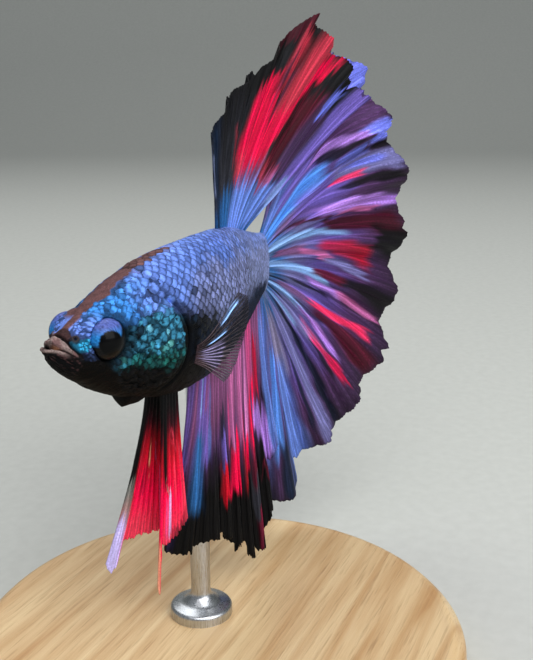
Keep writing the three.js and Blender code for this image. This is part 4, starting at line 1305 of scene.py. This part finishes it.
ANAL_GROUND = [(0, MAUVE * 0.8), (0.15, MAUVE), (0.3, MAUVE * 0.7), (0.45, PLUM * 0.7), (0.58, DUSK * 0.7),
               (0.7, BLACK), (1, BLACK)]
ANAL_STROKES = [
    (VIOLET * 0.6, (0.03, 0.0), (0.03, 0.95), (0.05, 0.06), 0.85),
    (VIOLET, (0.15, 0.02), (0.17, 0.5), (0.06, 0.07), 0.85),
    (STEEL_BLUE, (0.15, 0.34), (0.16, 0.77), (0.055, 0.055), 1.0),
    (PALE_BLUE, (0.14, 0.04), (0.13, 0.24), (0.014, 0.012), 0.95),
    (PERIWINKLE, (0.225, 0.12), (0.225, 0.5), (0.01, 0.01), 0.6),
    (ROSE * 0.6, (0.19, 0.06), (0.195, 0.2), (0.015, 0.01), 0.7),
    (BLACK, (0.28, 0.46), (0.28, 1.0), (0.06, 0.08), 0.8),
    (NIGHT * 0.8, (0.37, 0.28), (0.37, 0.46), (0.03, 0.04), 0.8),
    (VIOLET, (0.385, 0.42), (0.385, 0.6), (0.035, 0.035), 0.85),
    (RED, (0.4, 0.6), (0.39, 0.79), (0.06, 0.05), 1.0),
    (ROSE, (0.52, 0.1), (0.52, 0.54), (0.055, 0.06), 0.8),
    (PINK, (0.465, 0.25), (0.47, 0.5), (0.008, 0.008), 0.7),
    (NIGHT * 0.8, (0.47, 0.49), (0.475, 0.56), (0.012, 0.012), 0.8),
    (CRIMSON, (0.53, 0.54), (0.51, 0.75), (0.06, 0.06), 1.0),
    (ROSE, (0.64, 0.08), (0.64, 0.45), (0.06, 0.05), 0.75),
    (CRIMSON, (0.59, 0.42), (0.585, 0.68), (0.01, 0.012), 0.95),
    (CRIMSON * 0.8, (0.66, 0.4), (0.65, 0.54), (0.04, 0.04), 0.95),
    (RED * 0.5, (0.65, 0.52), (0.65, 0.7), (0.04, 0.045), 0.95),
    (ORCHID, (0.72, 0.1), (0.715, 0.52), (0.016, 0.014), 0.95),
    (CRIMSON, (0.71, 0.5), (0.71, 0.66), (0.012, 0.01), 0.95),
    (PINK * 0.8, (0.79, 0.05), (0.78, 0.34), (0.06, 0.055), 0.85),
    (CRIMSON, (0.765, 0.32), (0.77, 0.58), (0.04, 0.035), 1.0),
    (CRIMSON, (0.83, 0.28), (0.835, 0.5), (0.012, 0.012), 0.95),
    (MAROON, (0.76, 0.56), (0.76, 0.7), (0.04, 0.04), 0.8),
    (CHARCOAL * 1.6, (0.745, 0.68), (0.745, 0.84), (0.035, 0.03), 0.7),
    (MAROON * 1.6, (0.755, 0.84), (0.755, 0.97), (0.03, 0.03), 0.8),
    (CRIMSON * 0.6, (0.88, 0.18), (0.89, 0.46), (0.05, 0.04), 0.95),
    (DUSK * 1.2, (0.88, 0.42), (0.88, 0.62), (0.035, 0.03), 0.8),
    (LILAC * 0.8, (0.835, 0.42), (0.95, 0.93), (0.02, 0.03), 0.95),
    (MAROON, (0.88, 0.76), (0.9, 0.84), (0.04, 0.02), 0.8),
    (LILAC * 0.8, (0.94, 0.6), (0.97, 1.02), (0.02, 0.022), 0.95),
    (PERIWINKLE, (0.985, 0.12), (0.992, 1.02), (0.024, 0.022), 0.95),
]
PELVIC_GROUND = [(0, BLACK), (0.1, BLACK), (0.2, MAROON * 0.35), (0.3, RED * 0.6), (0.42, RED),
                 (0.7, CRIMSON), (1, CORAL)]
PELVIC_STROKES = {
    "left": [
        (BLACK, (0.15, 0.0), (0.25, 0.6), (0.17, 0.1), 1.0),
        (CRIMSON, (0.05, 0.44), (0.05, 0.95), (0.1, 0.13), 0.95),
        (CORAL, (0.5, 0.22), (0.75, 0.34), (0.05, 0.06), 0.8),
        (PINK, (0.3, 0.7), (0.3, 0.97), (0.04, 0.04), 0.8),
        (SLATE, (0.25, 0.56), (0.46, 0.7), (0.02, 0.03), 0.85),
        (PALE_LILAC, (0.42, 0.68), (0.42, 0.97), (0.05, 0.05), 0.7),
        (CORAL, (0.62, 0.42), (0.62, 0.72), (0.04, 0.04), 0.6),
        (CORAL, (0.88, 0.4), (0.92, 0.92), (0.06, 0.07), 0.8),
        (CREAM, (0.0, 0.75), (0.02, 1.2), (0.03, 0.05), 0.7),
        (MAROON * 0.4, (0.7, 0.93), (0.7, 1.1), (0.3, 0.3), 0.7),
    ],
    "right": [
        (BLACK, (0.02, 0.0), (0.05, 0.62), (0.1, 0.12), 1.0),
        (SLATE, (0.06, 0.5), (0.07, 0.76), (0.09, 0.1), 0.8),
        (PALE_LILAC, (0.03, 0.72), (0.06, 1.2), (0.11, 0.16), 1.0),
        (CORAL, (0.25, 0.26), (0.25, 0.5), (0.05, 0.05), 0.5),
        (MAROON, (0.42, 0.5), (0.44, 0.72), (0.05, 0.05), 0.5),
        (CREAM, (0.5, 0.28), (0.53, 0.5), (0.012, 0.014), 0.9),
        (ROSE, (0.66, 0.36), (0.7, 0.44), (0.03, 0.03), 0.6),
        (PINK, (0.8, 0.5), (0.82, 0.95), (0.025, 0.025), 0.8),
        (CORAL, (0.4, 0.85), (0.4, 1.02), (0.25, 0.25), 0.6),
    ],
}
PECTORAL_GROUND = [(0, srgb("2e2024")), (0.3, srgb("4a3e42")), (1, srgb("403c46"))]
PECTORAL_STROKES = [
    (BLACK, (0.25, 0.05), (0.25, 1.05), (0.3, 0.34), 0.72),
    (PALE_LILAC * 0.32, (0.55, 0.1), (0.62, 0.5), (0.25, 0.36), 0.7),
    # The two pale blue strokes are painted highlights on rays.
    (PALE_BLUE, (0.05, 0.45), (0.05, 0.85), (0.03, 0.04), 0.95),
    (PALE_BLUE, (0.21, 0.2), (0.21, 0.5), (0.03, 0.03), 0.95),
    (PALE_LILAC, (0.35, 0.14), (0.34, 0.42), (0.03, 0.03), 0.9),
]


# How finely each fin is meshed, and its rays, the places where they fork, its pleats and its torn margin.
FIN_DETAIL = {
    "dorsal": {"counts": (420, 80), "rays": 14, "forks": (0.15, 0.4, 0.62), "pleat": 0.09, "notch": 0.1,
               "seed": 51},
    "caudal": {"counts": (600, 80), "rays": 22, "forks": (0.18, 0.42, 0.66), "pleat": 0.13, "notch": 0.09,
               "seed": 52, "lean": CAUDAL["ray_lean"]},
    "anal": {"counts": (520, 80), "rays": 24, "forks": (0.3, 0.55), "pleat": 0.1, "notch": 0.12,
             "seed": 53},
    "pelvic": {"counts": (90, 110), "rays": 5, "forks": (0.25, 0.5), "pleat": 0.06, "notch": 0.03,
               "seed": 54},
    "pectoral": {"counts": (160, 50), "rays": 13, "forks": (0.35, 0.6), "pleat": 0.03, "notch": 0.05,
                 "seed": 55, "ray_size": (0.05, 0.03), "web": 0.012},
}


def painter(ground, strokes, seed):
    return lambda across, out: paint_fin(across, out, ground, strokes, seed)


def fins():
    web = fin_look("fin_web", 420.0).material
    for name, surface, paint in (
            ("dorsal", dorsal_surface, painter(DORSAL_GROUND, DORSAL_STROKES, seed=41)),
            ("caudal", caudal_surface, painter(CAUDAL_GROUND, CAUDAL_STROKES, seed=42)),
            ("anal", anal_surface, painter(ANAL_GROUND, ANAL_STROKES, seed=43))):
        piece = fin_mesh(name, surface, paint, web, **FIN_DETAIL[name])
        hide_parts(f"{name}_fin")
    red_web = fin_look("pelvic_web", 60.0, ray_glow=1.3, web_shade=0.8).material
    clear_web = clear_fin_look().material
    paint_pectoral = painter(PECTORAL_GROUND, PECTORAL_STROKES, seed=45)
    for side in SIDES:
        paint_pelvic = painter(PELVIC_GROUND, PELVIC_STROKES[side], seed=44)
        pelvic = fin_mesh(f"pelvic_{side}", partial(pelvic_surface, side), paint_pelvic, red_web,
                          **FIN_DETAIL["pelvic"])
        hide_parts(f"pelvic_fin_{side}")
        pectoral = fin_mesh(f"pectoral_{side}", partial(pectoral_surface, side), paint_pectoral, clear_web,
                            **FIN_DETAIL["pectoral"])
        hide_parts(f"pectoral_fin_{side}")


# ---- Eyes ----
def eyes(material):
    """Flattened eyeballs with a slightly domed cornea, on polar grids about their outward axis."""
    rows, columns = 60, 96
    polar = np.linspace(0, math.pi, rows + 2)[1:-1]
    clock = np.arange(columns) / columns * 2 * math.pi
    off_axis, turn = np.meshgrid(polar, clock, indexing="ij")
    radius, bulge = EYE["radius"], EYE["bulge"]
    ahead = -np.sin(off_axis) * np.cos(turn)
    up = np.sin(off_axis) * np.sin(turn)
    cornea = 1 - smooth(0.2, 0.75, off_axis)
    outward = np.cos(off_axis) * (1 + CORNEA_DOME * cornea) - CORNEA_DOME
    heading = spine(EYE["along"])[2]
    forward, left = -direction(heading, 0.0), left_of(heading)
    for name, side in SIDES.items():
        centre = place(EYE["along"], side * EYE["side"], EYE["height"])[0]
        rings = (centre + radius * ahead[..., None] * forward + radius * up[..., None] * np.array([0, 0, 1.0])
                 + side * bulge * outward[..., None] * left)
        ends = [centre + side * bulge * left, centre - side * (1 + CORNEA_DOME) * bulge * left]
        points = np.concatenate([rings.reshape(-1, 3), ends])
        values = {"outward": np.append(np.cos(off_axis), [1, -1]), "ahead": np.append(ahead, [0, 0]),
                  "up": np.append(up, [0, 0])}
        faces = tube_faces(rows, columns, flip=side > 0)
        piece = make_mesh(f"eyeball_{name}", points, faces, material, values)
        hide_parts(f"eye_{name}")


def eye_material():
    """A black eye that looks forward, with a blue and lilac crescent of iris at its front and top."""
    look = Look("eye", Coat_Weight=0.1, Coat_Roughness=0.06, Roughness=0.4, Specular_IOR_Level=0.06)
    ahead, up, outward = map(look.attribute, ("ahead", "up", "outward"))
    clock = look.math("ARCTAN2", up, ahead)
    fibres = look.noise(look.combine(look.times(outward, 3.0), look.times(clock, 5.0)), 1.6, 4.0)
    gaze = look.node("ShaderNodeVectorMath", {0: look.combine(ahead, up, outward), 1: EYE_GAZE},
                     operation="DOT_PRODUCT").outputs["Value"]
    ragged = look.math("SUBTRACT", gaze, look.times(fibres, 0.1))
    crescent = look.times(look.span(ragged, 0.76, 0.7), look.span(up, -0.2, 0.1))
    rear_end = look.math("ADD", ahead, look.times(up, 0.9))
    crescent = look.times(crescent, look.span(rear_end, 0.0, 0.25))
    sheen = look.mix(look.span(up, 0.3, 0.75), rgba("2c88d8"), rgba("5c6cba"))
    sheen = look.shaded(sheen, look.span(fibres, 0.3, 0.7, 0.35, 1.1))
    iris = look.mix(look.span(fibres, 0.4, 0.8), rgba("060608"), rgba("1a1818"))
    pupil = look.mix(look.span(gaze, 0.8, 0.84), iris, rgba("010102"))
    look.feed(Base_Color=look.mix(crescent, pupil, sheen))
    return look.material


# ---- Stand ----
def lathe(name, profile, centre, columns, material):
    """A closed turned solid about an upright axis. The profile runs up from the axis and back to it."""
    radii, heights = np.array(profile, float).T
    turn = np.arange(columns) / columns * 2 * math.pi
    ring = np.stack([np.cos(turn), np.sin(turn), np.zeros(columns)], -1)
    rings = ring[None] * radii[1:-1, None, None]
    rings[..., :2] += centre
    rings[..., 2] += heights[1:-1, None]
    ends = [(*centre, heights[0]), (*centre, heights[-1])]
    points = np.concatenate([rings.reshape(-1, 3), ends]) - ORIGIN
    return make_mesh(name, points, tube_faces(len(radii) - 2, columns, flip=True), material)


def rounded(corners, steps=8):
    """A profile with each inner corner (radius, height, rounding) turned into an arc."""
    points = [corners[0][:2]]
    for before, (x, y, size), after in zip(corners[:-2], corners[1:-1], corners[2:]):
        here = np.array([x, y], float)
        towards = unit(np.array(before[:2]) - here), unit(np.array(after[:2]) - here)
        for t in np.linspace(0, 1, steps if size else 1):
            points.append(tuple(here + size * (towards[0] * (1 - t) ** 2 + towards[1] * t ** 2)))
    points.append(corners[-1][:2])
    return points


def upright(name):
    """Middle, outer radius and top of a frame part that stands upright."""
    low, high = (np.array(corner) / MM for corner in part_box(name))
    return (low[:2] + high[:2]) / 2, (high[0] - low[0]) / 2, high[2]


def base_profile(radius, top):
    """A disc with chamfered edges, whose face dips a little inside its rim."""
    low_chamfer, low_height, chamfer, rim, dip = 0.6, 0.9, 1.3, 2.2, 0.12
    return rounded([(0, 0, 0), (radius - low_chamfer, 0, 0.2), (radius, low_height, 0.5),
                    (radius, top - chamfer, 0.5), (radius - chamfer, top, 0.6),
                    (radius - rim, top - dip, 0.3), (0, top, 0)])


def rod_profile(foot, seat, top):
    """A rod that widens to a round foot over a collar."""
    rod, foot_height, collar, collar_height, neck_height = 1.0, 1.1, 0.9, 1.5, 2.2
    return rounded([(0, seat, 0), (foot, seat, 0.05), (foot, seat + foot_height, 0.35),
                    (rod + collar, seat + collar_height, 0.3), (rod, seat + neck_height, 0.5),
                    (rod, top, 0.25), (0, top, 0)])


def stand():
    centre, radius, top = upright("stand_base")
    base = lathe("base", base_profile(radius, top), centre, 160, wood_material())
    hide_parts("stand_base")
    centre, foot, rod_top = upright("stand_rod")
    post = lathe("rod", rod_profile(foot, top - SEAT_DEPTH, rod_top), centre, 64, steel_material())
    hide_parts("stand_rod")


def wood_material():
    look = Look("maple", Coat_Weight=0.2, Coat_Roughness=0.3)
    rings = look.noise(look.object_place((0.05, 0.9, 0.9)), 0.55, 5.0, 0.6)
    pores = look.noise(look.object_place((0.25, 6, 6)), 0.8)
    colour = look.mix(look.span(rings, 0.35, 0.68), rgba("d9bd90"), rgba("b98f5e"))
    colour = look.mix(look.span(pores, 0.55, 0.75, 0.0, 0.5), colour, rgba("8f6a42"))
    look.feed(Base_Color=colour, Roughness=look.span(pores, 0.3, 0.7, 0.4, 0.58))
    look.relief(pores, 0.04)
    return look.material


def steel_material():
    look = Look("steel", Metallic=1.0)
    grain = look.noise(look.object_place((9, 9, 0.6)), 1.2)
    colour = look.mix(look.span(grain, 0.3, 0.7), rgba("a9adb2"), rgba("cfd2d6"))
    look.feed(Base_Color=colour, Roughness=look.span(grain, 0.3, 0.7, 0.24, 0.38))
    look.relief(grain, 0.01)
    return look.material


# ---- Room ----
CAMERA = {"aim": (29.4, -5.7, -4.2), "distance": 100.0, "azimuth": 22.98, "elevation": 15.36, "roll": -0.37}
PICTURE_HEIGHT = 36.0
FOCAL_LENGTH = 54.7
# Each light's azimuth and elevation seen from the fish, its distance and side in metres, and its power.
LIGHTS = {
    "key": (212, 58, 0.45, 0.4, 1.7),
    "fill": (250, 32, 0.5, 0.4, 1.6),
    "back": (40, 55, 0.45, 0.3, 0.7),
}
SKY_COLOUR = (0.9, 0.95, 1.0, 1.0)
SKY_STRENGTH = 0.28


def aim():
    """Where the camera and the lights point, in metres."""
    return Vector((np.array(CAMERA["aim"]) + ORIGIN) * MM)


def camera():
    data = bpy.data.cameras.new("camera")
    data.sensor_fit = "VERTICAL"
    data.sensor_height = PICTURE_HEIGHT
    data.lens = FOCAL_LENGTH
    data.clip_start = 0.005
    made = linked("camera", data)
    ahead = Vector(direction(math.radians(CAMERA["azimuth"]), -math.radians(CAMERA["elevation"])))
    turn = ahead.to_track_quat("-Z", "Y").to_matrix().to_4x4()
    roll = Matrix.Rotation(math.radians(CAMERA["roll"]), 4, "Z")
    made.matrix_world = Matrix.Translation(aim() - ahead * CAMERA["distance"] * MM) @ turn @ roll
    bpy.context.scene.camera = made


def lights():
    """Square soft lights that face the fish, under an even sky."""
    for name, (azimuth, elevation, distance, size, power) in LIGHTS.items():
        data = bpy.data.lights.new(name, "AREA")
        data.size = size
        data.energy = power
        away = Vector(direction(math.radians(azimuth), math.radians(elevation)))
        turn = away.to_track_quat("Z", "Y").to_matrix().to_4x4()
        linked(name, data).matrix_world = Matrix.Translation(aim() + away * distance) @ turn
    world = bpy.data.worlds.new("studio")
    bpy.context.scene.world = world
    world.use_nodes = True
    sky = world.node_tree.nodes["Background"].inputs
    sky["Color"].default_value = SKY_COLOUR
    sky["Strength"].default_value = SKY_STRENGTH


def room():
    """A pale sweep: a floor that turns up into a backdrop behind the fish."""
    azimuth = math.radians(CAMERA["azimuth"])
    behind, bend, width, reach, top = 0.55, 0.35, 3.0, 1.6, 2.4  # in metres
    angles = np.linspace(0, math.pi / 2, 25)
    profile = [(-reach, 0.0)] + [(behind + bend * math.sin(a), bend * (1 - math.cos(a))) for a in angles]
    profile.append((behind + bend, top))
    across = np.array([-math.sin(azimuth), math.cos(azimuth)])
    ahead = np.array([math.cos(azimuth), math.sin(azimuth)])
    points = []
    for distance, height in profile:
        for side in (-width, width):
            points.append((*(ahead * distance + across * side), height))
    faces = [(i, i + 1, i + 3, i + 2) for i in range(0, len(points) - 2, 2)]
    mesh = bpy.data.meshes.new("sweep")
    mesh.from_pydata(points, [], faces)
    mesh.shade_smooth()
    mesh.materials.append(paper_material())
    sweep = linked("sweep", mesh)


def paper_material():
    look = Look("paper", Roughness=0.9)
    fibre = look.noise(look.object_place(), 0.6, 5.0)
    look.feed(Base_Color=look.mix(look.span(fibre, 0.3, 0.7), rgba("b9bbb6"), rgba("bfc1bc")))
    return look.material


def body():
    skin = Skin()
    covered = skin.mesh(skin_material())
    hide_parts("upper_lip", "lower_jaw", "gill_cover_left", "gill_cover_right", "head", "trunk",
                "tail_stalk")
    plates = scale_material()
    scales, chosen = trunk_scales(skin)
    for part in range(TRUNK_PARTS):
        piece = scales.mesh(f"trunk_scales_{part + 1}", chosen[part::TRUNK_PARTS], plates, seed=61 + part)
    scales, chosen = head_scales(skin)
    for part in range(HEAD_PARTS):
        piece = scales.mesh(f"head_scales_{part + 1}", chosen[part::HEAD_PARTS], plates, seed=71 + part,
                            steps=10, sides=10)


body()
fins()
eyes(eye_material())
stand()
camera()
lights()
room()
bpy.context.scene.view_settings.view_transform = "Standard"
